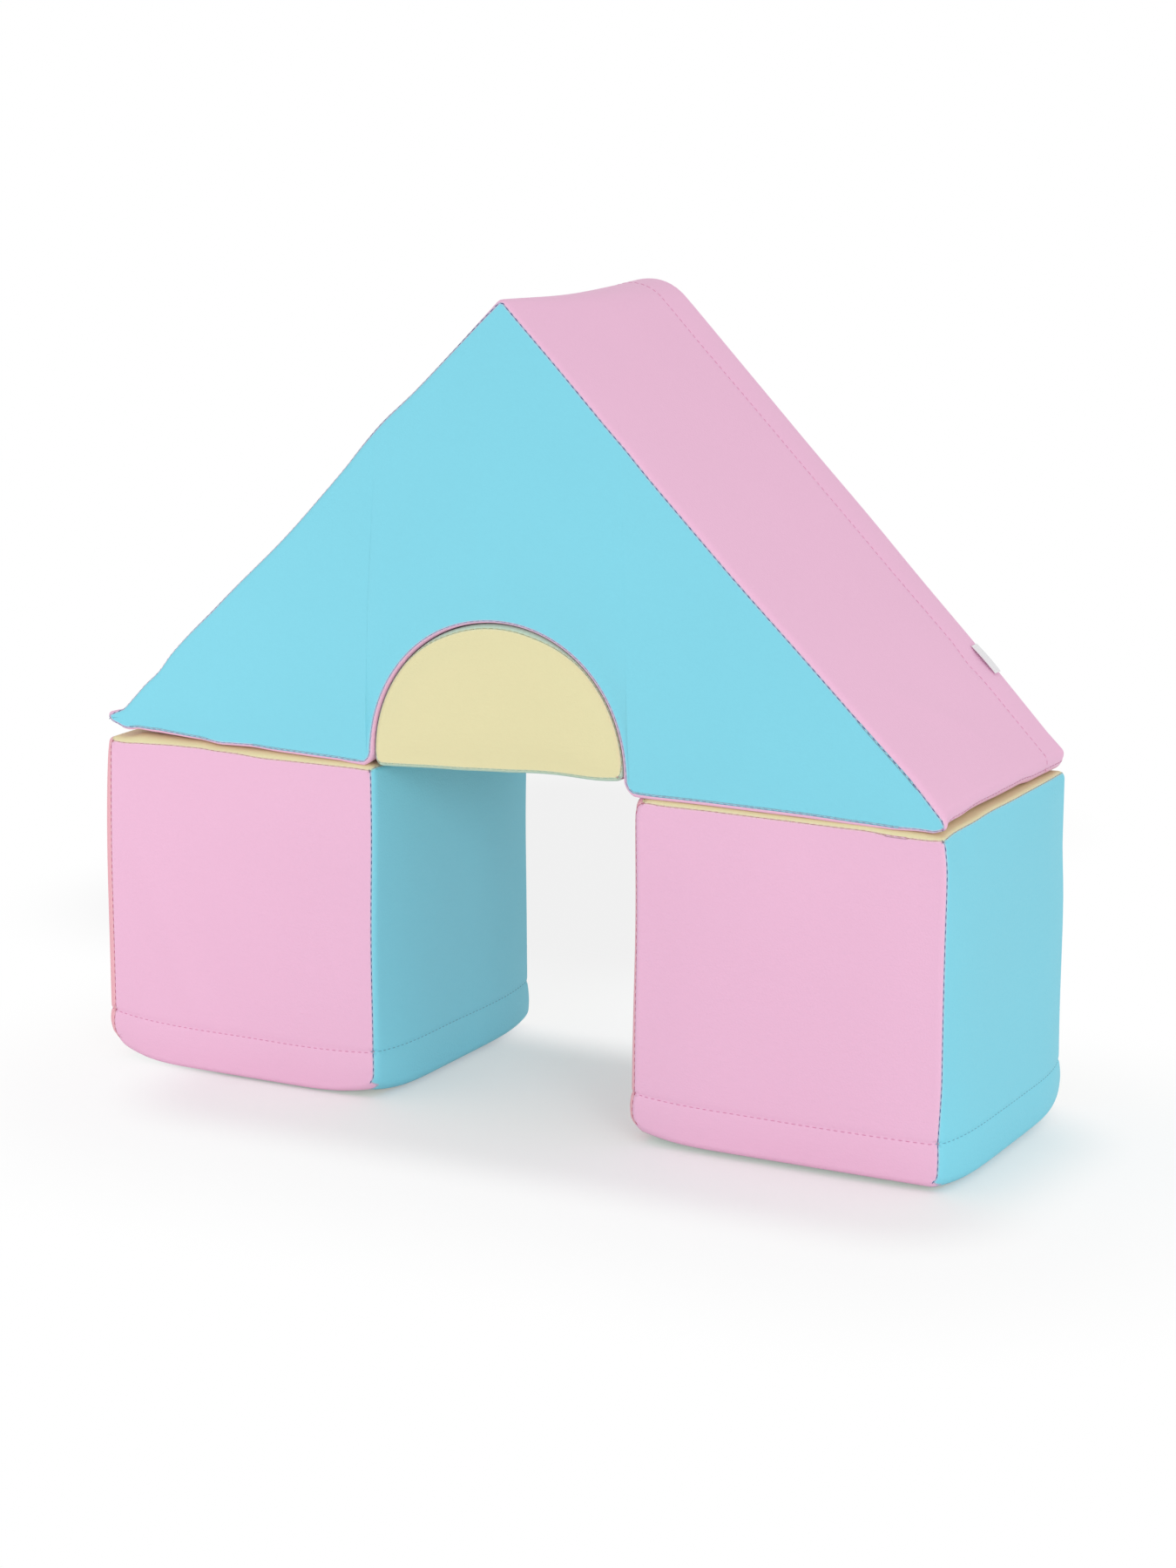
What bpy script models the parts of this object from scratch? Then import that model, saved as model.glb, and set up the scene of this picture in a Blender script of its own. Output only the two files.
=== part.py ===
"""Soft play house: two cubes carry a gabled roof, and a half-round block fills the arch in the roof.

Every block is a foam core in a sewn leatherette cover. A cover is a band that runs round the block and
two end panels set into it, and the seams lie a little inside the front and back faces. All sizes are in
metres, +Z is up, the front faces -Y and the origin is on the floor in the middle of the doorway.
"""

import math

import bmesh
import bpy
from mathutils import Matrix, Vector

# Cubes
CUBE_WIDTH = 0.300
CUBE_HEIGHT = 0.3225
CUBE_DEPTH = 0.300
CUBE_SIDE_CROWN = 0.005
CUBE_TOP_CROWN = 0.003
CUBE_BASE_ROLL = 0.012
DOORWAY_WIDTH = 0.2703
CORNER_LIFT = 0.011
CORNER_LIFT_HEIGHT = 0.060
CORNER_FLAT = 0.4
FRONT_EDGE_LIFT = 0.0035
FOOT_BULGE = 0.008
FOOT_BULGE_FRONT = 0.005
FOOT_BULGE_HEIGHT = 0.080
LEFT_CUBE_PILLOW = 0.006
RIGHT_CUBE_PILLOW = 0.002
PILLOW_REACH = 0.010

# Roof
ROOF_HALF_BASE = 0.446
ROOF_RISE = 0.434
ROOF_DEPTH = CUBE_DEPTH
ROOF_TIP_ROLL = 0.007
RIDGE_ROLL_FRONT = 0.007
RIDGE_ROLL_BACK = 0.030
ROOF_FRONT_CROWN = 0.005
SLOPE_CROWN = 0.002
RIDGE_SAG = 0.002
RIDGE_SAG_WIDTH = 0.060
RIGHT_SLOPE_DRAW = 0.004
LEFT_SLOPE_BUMPS = ((0.28, 0.07, 0.0025), (0.53, 0.08, -0.0025), (0.71, 0.07, 0.0045))
BACK_FULLNESS = 0.011
LEFT_TIP_CURL = 0.009
LEFT_TIP_CURL_LENGTH = 0.110
ARCH_RADIUS = 0.1293
ARCH_CENTRE_RISE = 0.0084
ARCH_OFFSET = -0.0055
ARCH_LIP_ROLL = 0.009

# Half-round block
HALF_ROUND_CLEARANCE = 0.0008
HALF_ROUND_BASE_DROP = 0.0030
HALF_ROUND_DEPTH = ROOF_DEPTH - 0.002
HALF_ROUND_CROWN = 0.005
HALF_ROUND_CORNER_ROLL = 0.009
HALF_ROUND_TILT = 2.6

# Covers
COVER_THICKNESS = 0.0009
COVER_CLEARANCE = 0.0008
EDGE_ROLL = 0.007
SEAM_ANGLE = 23.0
SEAM_GAP = 0.0008
HEM_DEPTH = 0.045
HEM_PUFF = 0.0016
HEM_GROOVE = 0.0008
HEM_GROOVE_WIDTH = 0.006
RESTING_GAP = 0.0003

# Zips
CUBE_ZIP_LENGTH = 0.230
CUBE_ZIP_HEIGHT = 0.078
ROOF_ZIP_LENGTH = 0.420
ROOF_ZIP_HEIGHT = 0.180
HALF_ROUND_ZIP_LENGTH = 0.150
HALF_ROUND_ZIP_HEIGHT = 0.045
ZIP_SLOT_WIDTH = 0.008
TAPE_WIDTH = 0.024
TAPE_THICKNESS = 0.0006
TAPE_OVERLAP = 0.008
CHAIN_WIDTH = 0.0048
CHAIN_PROUD = 0.0004
SLIDER_LENGTH = 0.010
SLIDER_WALL = 0.0010
ZIP_CLEARANCE = 0.0003

# Label
LABEL_LENGTH = 0.034
LABEL_WIDTH = 0.0115
LABEL_THICKNESS = 0.0012
LABEL_SHARE = 0.2
LABEL_SEAT = 0.0005

# How finely the covers are drawn
ARC_STEPS = 2
ROLL_STEPS = 2
CUBE_SHARES = (0.12, 0.33, 0.67, 0.88)
WALL_SPANS = 3
FORE_SPANS = 3
ARCH_STEPS = 16
LIP_STEPS = 3
FOOT_SPANS = 3
SLOPE_SPANS = 12
RIDGE_STEPS = 4
END_STEPS = 4
HALF_ROUND_STEPS = 14
WELD = 0.00002

COLOURS = {
    "pink leatherette": (0.80, 0.50, 0.67),
    "blue leatherette": (0.24, 0.65, 0.83),
    "yellow leatherette": (0.79, 0.73, 0.42),
    "coral leatherette": (0.84, 0.47, 0.48),
    "mint leatherette": (0.50, 0.74, 0.60),
    "upholstery foam": (0.88, 0.85, 0.72),
    "zip tape": (0.85, 0.85, 0.83),
    "slider nickel": (0.66, 0.65, 0.62),
    "label satin": (0.90, 0.90, 0.88),
}
ROUGHNESS = {"upholstery foam": 0.95, "zip tape": 0.85, "slider nickel": 0.30, "label satin": 0.60}


def clear_scene():
    for item in list(bpy.data.objects):
        bpy.data.objects.remove(item, do_unlink=True)


def new_collection(name):
    made = bpy.data.collections.new(name)
    bpy.context.scene.collection.children.link(made)
    return made


def material(name):
    found = bpy.data.materials.get(name)
    if found:
        return found
    made = bpy.data.materials.new(name)
    made.use_nodes = True
    shader = made.node_tree.nodes["Principled BSDF"]
    shader.inputs["Base Color"].default_value = (*COLOURS[name], 1.0)
    shader.inputs["Roughness"].default_value = ROUGHNESS.get(name, 0.45)
    shader.inputs["Metallic"].default_value = 1.0 if name == "slider nickel" else 0.0
    return made


# Outlines of the blocks, as points with outward normals in the X-Z plane.
# Each has four stretches: bottom and top run left to right, left and right run upwards.


def arc(centre, radius, start, end, steps, facing=1.0):
    """Points of an arc between two angles in degrees; facing -1 turns the normals to its centre."""
    points = []
    for step in range(steps + 1):
        angle = math.radians(start + (end - start) * step / steps)
        direction = Vector((math.cos(angle), math.sin(angle)))
        points.append((centre + direction * radius, direction * facing))
    return points


def straight(start, end, shares):
    """Points between two tangent points, which share one normal, at shares of the way."""
    return [(start[0].lerp(end[0], share), start[1]) for share in shares]


def evenly(spans):
    return [step / spans for step in range(1, spans)]


def hem_shares(low, high):
    """Where a standing cube wall has its rows: round the hem's stitch line, then evenly."""
    above = HEM_DEPTH + 2 * HEM_GROOVE_WIDTH
    rows = [HEM_DEPTH / 2, HEM_DEPTH - HEM_GROOVE_WIDTH, HEM_DEPTH, above]
    rows += [above + (high - above) * share for share in evenly(WALL_SPANS)]
    return [(row - low) / (high - low) for row in rows]


def cube_outline(_share):
    half = CUBE_WIDTH / 2
    low, high = CUBE_BASE_ROLL, CUBE_HEIGHT - EDGE_ROLL
    base_left = Vector((low - half, low))
    base_right = Vector((half - low, low))
    top_left = Vector((EDGE_ROLL - half, high))
    top_right = Vector((half - EDGE_ROLL, high))
    walls = {}
    for side, foot, head in (("left", base_left, top_left), ("right", base_right, top_right)):
        turn = -1 if side == "left" else 1
        facing = 180 if side == "left" else 0
        lower = arc(foot, low, facing - 45 * turn, facing, ARC_STEPS)
        upper = arc(head, EDGE_ROLL, facing, facing + 45 * turn, ARC_STEPS)
        walls[side] = lower + straight(lower[-1], upper[0], hem_shares(low, high)) + upper
    for side, first, last, roll, turn in (
        ("bottom", base_left, base_right, low, -1),
        ("top", top_left, top_right, EDGE_ROLL, 1),
    ):
        start = arc(first, roll, (90 + 45) * turn, 90 * turn, ARC_STEPS)
        end = arc(last, roll, 90 * turn, 45 * turn, ARC_STEPS)
        walls[side] = start + straight(start[-1], end[0], CUBE_SHARES) + end
    return walls


def slope_angle():
    return math.degrees(math.atan2(ROOF_RISE, ROOF_HALF_BASE))


def fullness(share, depth_share):
    """The slopes stand out towards the back of the ridge, where the loose cover is fullest."""
    return BACK_FULLNESS * (1.0 - (1.0 - share) ** 2) * depth_share**2


def left_slope_wave(share, depth_share):
    """The left slope stands proud at two places and is drawn in between them, as its loose cover lies."""
    wave = 0.0
    for place, width, height in LEFT_SLOPE_BUMPS:
        wave += height * math.exp(-(((share - place) / width) ** 2))
    return wave * (1.0 - depth_share) + fullness(share, depth_share)


def right_slope_wave(share, depth_share):
    draw = RIGHT_SLOPE_DRAW * math.sin(math.pi * share) ** 2 * (1.0 - depth_share)
    return fullness(share, depth_share) - draw


def roof_slope(start, end, wave, depth_share):
    """A slope from its lower to its upper tangent point, displaced along its normal by its wave."""
    shares = evenly(SLOPE_SPANS)
    listed = zip(straight(start, end, shares), shares)
    return [(point + normal * wave(share, depth_share), normal) for (point, normal), share in listed]


def roof_outline(share):
    """The gable, from the front (share 0) to the back (share 1), where its ridge is rounder."""
    pitch = slope_angle()
    ridge_roll = RIDGE_ROLL_FRONT + (RIDGE_ROLL_BACK - RIDGE_ROLL_FRONT) * share
    tip_reach = ROOF_HALF_BASE - ROOF_TIP_ROLL / math.tan(math.radians(pitch / 2))
    tips = {
        "right": arc(Vector((tip_reach, ROOF_TIP_ROLL)), ROOF_TIP_ROLL, -90, 90 - pitch, END_STEPS),
        "left": arc(Vector((-tip_reach, ROOF_TIP_ROLL)), ROOF_TIP_ROLL, 270, 90 + pitch, END_STEPS),
    }
    rise = ROOF_RISE + fullness(1.0, share) / math.cos(math.radians(pitch))
    ridge_centre = Vector((0.0, rise - ridge_roll / math.cos(math.radians(pitch))))
    ridge = arc(ridge_centre, ridge_roll, 90 + pitch, 90 - pitch, RIDGE_STEPS)
    plain = Vector((0.0, ridge_centre.y - (rise - ROOF_RISE)))
    plain_ridge = arc(plain, ridge_roll, 90 + pitch, 90 - pitch, RIDGE_STEPS)
    left = roof_slope(tips["left"][-1], plain_ridge[0], left_slope_wave, share)
    right = roof_slope(tips["right"][-1], plain_ridge[-1], right_slope_wave, share)
    top = [tips["left"][-1]] + left + ridge + right[::-1] + [tips["right"][-1]]

    lip_reach = math.sqrt((ARCH_RADIUS + ARCH_LIP_ROLL) ** 2 - (ARCH_LIP_ROLL - ARCH_CENTRE_RISE) ** 2)
    lip_tilt = math.degrees(math.asin((ARCH_LIP_ROLL - ARCH_CENTRE_RISE) / (ARCH_RADIUS + ARCH_LIP_ROLL)))
    left_centre = Vector((ARCH_OFFSET - lip_reach, ARCH_LIP_ROLL))
    right_centre = Vector((ARCH_OFFSET + lip_reach, ARCH_LIP_ROLL))
    left_lip = arc(left_centre, ARCH_LIP_ROLL, -90, -lip_tilt, LIP_STEPS)
    right_lip = arc(right_centre, ARCH_LIP_ROLL, 180 + lip_tilt, 270, LIP_STEPS)
    arch_centre = Vector((ARCH_OFFSET, ARCH_CENTRE_RISE))
    arch = arc(arch_centre, ARCH_RADIUS, 180 - lip_tilt, lip_tilt, ARCH_STEPS, facing=-1.0)
    bottom = [tips["left"][0]]
    bottom += straight(tips["left"][0], left_lip[0], evenly(FOOT_SPANS))
    bottom += left_lip[:-1] + arch + right_lip[1:]
    bottom += straight(right_lip[-1], tips["right"][0], evenly(FOOT_SPANS))
    bottom += [tips["right"][0]]
    return {"bottom": bottom, "top": top, "left": tips["left"], "right": tips["right"]}


def half_round_outline(_share):
    """A half disc about the arch's centre; its flat side is tilted a little, as it hangs in the arch."""
    radius = ARCH_RADIUS - HALF_ROUND_CLEARANCE
    tilt = math.radians(HALF_ROUND_TILT)
    across = Vector((math.cos(tilt), math.sin(tilt)))
    down = Vector((across.y, -across.x))
    roll = HALF_ROUND_CORNER_ROLL
    drop = HALF_ROUND_BASE_DROP - roll
    reach = math.sqrt((radius - roll) ** 2 - drop**2)
    corners = {}
    for side, turn in (("left", -1), ("right", 1)):
        centre = across * reach * turn + down * drop
        start = math.degrees(math.atan2(down.y, down.x))
        end = math.degrees(math.atan2(centre.y, centre.x))
        if side == "left":
            end = end % 360
            start = start % 360
        corners[side] = arc(centre, roll, start, end, END_STEPS)
    first, last = corners["left"], corners["right"]
    turned = [math.degrees(math.atan2(corner[-1][1].y, corner[-1][1].x)) for corner in (first, last)]
    top = arc(Vector((0.0, 0.0)), radius, turned[0] % 360, turned[1], HALF_ROUND_STEPS)
    bottom = [first[0]] + straight(first[0], last[0], evenly(HALF_ROUND_STEPS)) + [last[0]]
    return {"bottom": bottom, "top": top, "left": first, "right": last}


# Reliefs: how a stuffed cover stands out between its seams, and how its hem lies.


def swell(share):
    """Zero at both edges of a panel and one in its middle, steep at the edges as a stuffed cover is."""
    return 1.0 - (2.0 * share - 1.0) ** 4


def hem_relief(distance):
    """Height of a cover round its turned hem, by the distance from its open edge."""
    puff = HEM_PUFF * math.sin(math.pi * min(max(distance, 0.0) / HEM_DEPTH, 1.0))
    groove = HEM_GROOVE * math.exp(-(((distance - HEM_DEPTH) / HEM_GROOVE_WIDTH) ** 2))
    return puff - groove


def pillow(depth_share, depth):
    """Zero at the seams, one from a short reach inside them on: a wall that stands proud of its seams."""
    distance = min(depth_share, 1.0 - depth_share) * depth
    missing = max(0.0, 1.0 - distance / PILLOW_REACH)
    return math.sqrt(max(0.0, 1.0 - missing**2))


def cube_relief(left_pillow):
    """The walls and the top are crowned, and the left wall also stands proud of its seams."""

    def relief(side, share, depth_share):
        crown = {"left": CUBE_SIDE_CROWN, "right": CUBE_SIDE_CROWN, "top": CUBE_TOP_CROWN, "bottom": 0.0}
        proud = left_pillow * pillow(depth_share, CUBE_DEPTH) * swell(share) if side == "left" else 0.0
        return crown[side] * swell(share) * swell(depth_share) + proud

    return relief


def roof_relief(side, share, depth_share):
    """The slopes have a slight crown, a sagging ridge and a hem that runs along their back edge."""
    if side != "top":
        return 0.0
    slope_share = 2 * share if share < 0.5 else 2 - 2 * share
    crown = SLOPE_CROWN * swell(slope_share) * swell(depth_share)
    sag = RIDGE_SAG * math.exp(-(((share - 0.5) / RIDGE_SAG_WIDTH) ** 2)) * swell(depth_share)
    hem = hem_relief((1.0 - depth_share) * ROOF_DEPTH) * swell(slope_share)
    return crown - sag + hem


def half_round_relief(_side, _share, _depth_share):
    return 0.0


def corner_ramp(offset, half):
    """Zero over the middle of a face, rising to one at its edge."""
    return max(0.0, (abs(offset) / half - CORNER_FLAT) / (1.0 - CORNER_FLAT)) ** 3


def foot_bulge(height, offset, half):
    """How far a standing wall bulges out at its foot, most in the middle of its width."""
    return math.exp(-((height / FOOT_BULGE_HEIGHT) ** 2)) * max(0.0, swell(0.5 + offset / (2 * half)))


def cube_settle(point):
    """The foot bulges, a hem goes round it, and the corners and the front edge of the base are pulled up."""
    half_width, half_depth = CUBE_WIDTH / 2, CUBE_DEPTH / 2
    hem = hem_relief(point.z)
    side = hem + FOOT_BULGE * foot_bulge(point.z, point.y, half_depth)
    ahead = FOOT_BULGE_FRONT * foot_bulge(point.z, point.x, half_width) if point.y < 0.0 else 0.0
    edge = corner_ramp(point.y, half_depth)
    lift = CORNER_LIFT * corner_ramp(point.x, half_width) * edge
    if point.y < 0.0:
        lift += FRONT_EDGE_LIFT * edge
    risen = min(point.z / CORNER_LIFT_HEIGHT, 1.0)
    fall = 1.0 - risen**2 * (3.0 - 2.0 * risen)
    x = point.x * (1.0 + side / half_width)
    y = point.y * (1.0 + (hem + ahead) / half_depth)
    return Vector((x, y, point.z + lift * fall))


def roof_settle(point):
    """The left tip of the roof curls up."""
    past = max(0.0, (LEFT_TIP_CURL_LENGTH - ROOF_HALF_BASE - point.x) / LEFT_TIP_CURL_LENGTH)
    return point + Vector((0.0, 0.0, LEFT_TIP_CURL * past**2))


def half_round_settle(point):
    return point


# The skin of a block at a depth below the outside of its cover


class Skin:
    """Points of a block's surface: the band by outline point and row, the ends by column and row."""

    def __init__(self, block, below=0.0):
        self.block = block
        self.half = block["depth"] / 2
        self.below = below
        self.rows = self.cross_rows()
        self.outlines = [self.loop(row["share"]) for row in self.rows]
        outline = block["outline"](0.0)
        self.columns = len(outline["bottom"]) - 1
        self.end_rows = len(outline["left"]) - 1
        self.count = 2 * (self.columns + self.end_rows)

    def cross_rows(self):
        """Rows across the band from the front seam to the back seam: how far in, and how deep."""
        angles = [SEAM_ANGLE + (90 - SEAM_ANGLE) * step / ROLL_STEPS for step in range(ROLL_STEPS + 1)]
        radius = EDGE_ROLL - self.below
        rows = []
        for angle in angles:
            turned = math.radians(angle)
            inset = EDGE_ROLL - radius * math.sin(turned)
            rows.append({"inset": inset, "y": -self.half + EDGE_ROLL - radius * math.cos(turned)})
        back = [{"inset": row["inset"], "y": -row["y"]} for row in rows[::-1]]
        middle = [{"inset": self.below, "y": y} for y in self.block["rows"]]
        listed = rows + middle + back
        seam = listed[0]["y"]
        return [{**row, "share": (row["y"] - seam) / (-2 * seam)} for row in listed]

    def loop(self, depth_share):
        """The closed outline at a depth: underside, right, top and left, with its share of each side."""
        outline = self.block["outline"](depth_share)
        points = []
        for side, turned in (("bottom", False), ("right", False), ("top", True), ("left", True)):
            stretch = outline[side]
            lengths = [0.0]
            for before, after in zip(stretch, stretch[1:]):
                lengths.append(lengths[-1] + (after[0] - before[0]).length)
            listed = [
                (point, normal, side, length / lengths[-1])
                for (point, normal), length in zip(stretch, lengths)
            ]
            points += (listed[::-1] if turned else listed)[:-1]
        return points

    def band(self, place, row):
        point, normal, side, share = self.outlines[row][place % self.count]
        across = self.rows[row]
        rise = self.block["relief"](side, share, across["share"]) - across["inset"]
        outward = point + normal * rise
        return self.block["settle"](Vector((outward.x, across["y"], outward.y)))

    def corner(self, which):
        """Places on the loop of the four corners of an end: lower left, lower right, and so on up."""
        return {
            "lower left": 0,
            "lower right": self.columns,
            "upper right": self.columns + self.end_rows,
            "upper left": 2 * self.columns + self.end_rows,
        }[which]

    def end(self, front, column, step):
        """A point of the front or back end, spanned between the four stretches of the outline."""
        row = 0 if front else len(self.rows) - 1
        inset = self.rows[row]["inset"]
        loop = self.outlines[row]

        def rim(place):
            point, normal, _side, _share = loop[place % self.count]
            return point - normal * inset

        upper_left, upper_right = self.corner("upper left"), self.corner("upper right")
        low, high = rim(column), rim(upper_left - column)
        left, right = rim(self.count - step), rim(self.columns + step)
        across, up = loop[column][3], loop[(self.columns + step) % self.count][3]
        across = 1.0 if column == self.columns else across
        up = 1.0 if step == self.end_rows else up
        flat = low * (1 - up) + high * up + left * (1 - across) + right * across
        flat -= rim(0) * (1 - across) * (1 - up) + rim(self.columns) * across * (1 - up)
        flat -= rim(upper_left) * (1 - across) * up + rim(upper_right) * across * up
        crown = self.block["crown"] * swell(across) * swell(up) if front else 0.0
        y = self.rows[row]["y"] + (-crown if front else 0.0)
        return self.block["settle"](Vector((flat.x, y, flat.y)))


def patch(mesh, columns, rows, place):
    """One grid of quads, each of its points moved to its place on a skin."""
    made = bmesh.ops.create_grid(mesh, x_segments=columns, y_segments=rows, size=1.0)
    for vertex in made["verts"]:
        column = round((vertex.co.x + 1) / 2 * columns)
        row = round((vertex.co.y + 1) / 2 * rows)
        vertex.co = place(column, row)


def add_patch(mesh, skin, kind, first, last, low, high):
    """A stretch of the band, from place first to last and row low to high, or a whole end."""
    if kind == "band":
        patch(mesh, high - low, last - first, lambda i, j: skin.band(first + j, low + i))
    elif kind == "front":
        patch(mesh, skin.columns, skin.end_rows, lambda i, j: skin.end(True, i, j))
    else:
        patch(mesh, skin.end_rows, skin.columns, lambda i, j: skin.end(False, j, i))


def draw_back_edges(mesh, distance):
    """Moves the open edges of a sheet inwards along the sheet, which leaves room for the seam."""
    moves = {}
    for edge in mesh.edges:
        if not edge.is_boundary:
            continue
        face = edge.link_faces[0]
        along = (edge.verts[1].co - edge.verts[0].co).normalized()
        inward = face.normal.cross(along)
        if inward.dot(face.calc_center_median() - edge.verts[0].co) < 0:
            inward.negate()
        for vertex in edge.verts:
            moves.setdefault(vertex, []).append(inward.normalized())
    for vertex, directions in moves.items():
        turn = sum(directions, Vector()).normalized()
        vertex.co += turn * distance / max(turn.dot(directions[0]), 0.5)


def skin_mesh(name, skin, patches, seam_gap=0.0):
    mesh = bmesh.new()
    for kind, first, last, low, high in patches:
        add_patch(mesh, skin, kind, first, last, low, high)
    bmesh.ops.remove_doubles(mesh, verts=mesh.verts, dist=WELD)
    mesh.normal_update()
    if seam_gap:
        draw_back_edges(mesh, seam_gap / 2)
    data = bpy.data.meshes.new(name)
    mesh.to_mesh(data)
    mesh.free()
    data.shade_smooth()
    data.set_sharp_from_angle(angle=math.radians(40))
    return data


def add_object(name, data, material_name, parent, collection, location=(0, 0, 0), rotation=(0, 0, 0)):
    piece = bpy.data.objects.new(name, data)
    collection.objects.link(piece)
    data.materials.append(material(material_name))
    piece.location = location
    piece.rotation_euler = rotation
    piece.parent = parent
    return piece


def thicken(piece, thickness):
    """Gives an open cover sheet its thickness, on the inside."""
    wall = piece.modifiers.new("cover thickness", "SOLIDIFY")
    wall.thickness = thickness
    wall.offset = -1.0
    wall.use_rim = True


def bar(name, size, parent, collection, location):
    """A plain rectangular bar, centred on its location."""
    mesh = bmesh.new()
    bmesh.ops.create_cube(mesh, size=1.0)
    bmesh.ops.scale(mesh, vec=size, verts=mesh.verts)
    data = bpy.data.meshes.new(name)
    mesh.to_mesh(data)
    mesh.free()
    piece = bpy.data.objects.new(name, data)
    collection.objects.link(piece)
    piece.location = location
    piece.parent = parent
    return piece


def combine(piece, tool, operation, label):
    """Cuts a tool from a piece or joins it on; the tool itself isn't part of the model."""
    change = piece.modifiers.new(label, "BOOLEAN")
    change.operation = operation
    change.object = tool
    change.solver = "EXACT"
    tool.hide_render = True
    tool.display_type = "WIRE"


def profile(name, points, length, parent, collection, location):
    """A flat outline in the Y-Z plane, drawn out along X."""
    curve = bpy.data.curves.new(name, "CURVE")
    curve.dimensions = "2D"
    curve.fill_mode = "BOTH"
    curve.extrude = length / 2
    line = curve.splines.new("POLY")
    line.points.add(len(points) - 1)
    for target, (out, up) in zip(line.points, points):
        target.co = (out, up, 0.0, 1.0)
    line.use_cyclic_u = True
    drawn = bpy.data.objects.new(name + " outline", curve)
    collection.objects.link(drawn)
    bpy.context.view_layer.update()
    evaluated = drawn.evaluated_get(bpy.context.evaluated_depsgraph_get())
    data = bpy.data.meshes.new_from_object(evaluated)
    bpy.data.objects.remove(drawn)
    bpy.data.curves.remove(curve)
    data.name = name
    mesh = bmesh.new()
    mesh.from_mesh(data)
    bmesh.ops.remove_doubles(mesh, verts=mesh.verts, dist=WELD)
    bmesh.ops.recalc_face_normals(mesh, faces=mesh.faces)
    mesh.to_mesh(data)
    mesh.free()
    piece = bpy.data.objects.new(name, data)
    collection.objects.link(piece)
    piece.rotation_euler = (math.radians(90), 0.0, math.radians(90))
    piece.location = location
    piece.parent = parent
    return piece


def add_zip(prefix, block, parent, parts, tools, panel, core):
    """A zip behind a slot in the back panel: tape, chain and a slider that runs along the chain."""
    length, height = block["zip_length"], block["zip_height"]
    face = block["depth"] / 2 - EDGE_ROLL * (1 - math.cos(math.radians(SEAM_ANGLE)))
    tape_top = face - COVER_THICKNESS - ZIP_CLEARANCE
    tape_length = length + 2 * TAPE_OVERLAP
    tape_size = (tape_length, TAPE_THICKNESS, TAPE_WIDTH)
    tape_place = (0.0, tape_top - TAPE_THICKNESS / 2, height)
    tape = bar(prefix + "_zip", tape_size, parent, parts, tape_place)
    tape.data.materials.append(material("zip tape"))

    chain_foot = tape_top - TAPE_THICKNESS / 2
    chain_top = face + CHAIN_PROUD
    chain_size = (length - 2 * ZIP_CLEARANCE, chain_top - chain_foot, CHAIN_WIDTH)
    chain_place = (0.0, (chain_top + chain_foot) / 2, height)
    chain = bar(prefix + " zip chain", chain_size, parent, tools, chain_place)
    combine(tape, chain, "UNION", "chain on its tape")

    slot_size = (length, 4 * EDGE_ROLL, ZIP_SLOT_WIDTH)
    slot = bar(prefix + " zip slot", slot_size, parent, tools, (0.0, face, height))
    combine(panel, slot, "DIFFERENCE", "slot for the zip")

    bed_depth = TAPE_THICKNESS + 2 * ZIP_CLEARANCE
    bed_size = (tape_length + 2 * ZIP_CLEARANCE, 2 * bed_depth, TAPE_WIDTH + 2 * ZIP_CLEARANCE)
    bed_place = (0.0, tape_top + ZIP_CLEARANCE, height)
    bed = bar(prefix + " zip bed", bed_size, parent, tools, bed_place)
    combine(core, bed, "DIFFERENCE", "bed for the tape")

    inner = CHAIN_WIDTH / 2 + ZIP_CLEARANCE
    outer = inner + SLIDER_WALL
    foot = tape_top + ZIP_CLEARANCE - face
    roof = CHAIN_PROUD + ZIP_CLEARANCE
    top = roof + SLIDER_WALL
    channel = [(foot, -outer), (top, -outer), (top, outer), (foot, outer)]
    channel += [(foot, inner), (roof, inner), (roof, -inner), (foot, -inner)]
    start = SLIDER_LENGTH / 2 + 2 * ZIP_CLEARANCE - length / 2
    carrier = bpy.data.objects.new(prefix + " slider run", None)
    parts.objects.link(carrier)
    carrier.location = (start, face, height)
    carrier.parent = parent
    slider = profile(prefix + "_zip_slider", channel, SLIDER_LENGTH, carrier, parts, (0.0, 0.0, 0.0))
    slider.data.materials.append(material("slider nickel"))
    lug_size = (SLIDER_LENGTH / 3, SLIDER_WALL, SLIDER_WALL * 2)
    lug = bar(prefix + " slider lug", lug_size, carrier, tools, (0.0, top, 0.0))
    combine(slider, lug, "UNION", "lug on the slider")


def add_block(prefix, block, parent, parts, tools):
    """The foam core, the cover panels and the zip of one block."""
    cover = Skin(block)
    panels = {}
    for name, (colour, patches) in block["panels"](cover).items():
        data = skin_mesh(prefix + "_" + name, cover, patches, SEAM_GAP)
        panels[name] = add_object(prefix + "_" + name, data, colour, parent, parts)
        thicken(panels[name], COVER_THICKNESS)
    inside = Skin(block, COVER_THICKNESS + COVER_CLEARANCE)
    last = len(inside.rows) - 1
    whole = [("band", 0, inside.count, 0, last), ("front", 0, 0, 0, 0), ("back", 0, 0, 0, 0)]
    data = skin_mesh(prefix + "_foam_core", inside, whole)
    core = add_object(prefix + "_foam_core", data, "upholstery foam", parent, parts)
    add_zip(prefix, block, parent, parts, tools, panels["back_panel"], core)


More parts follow.
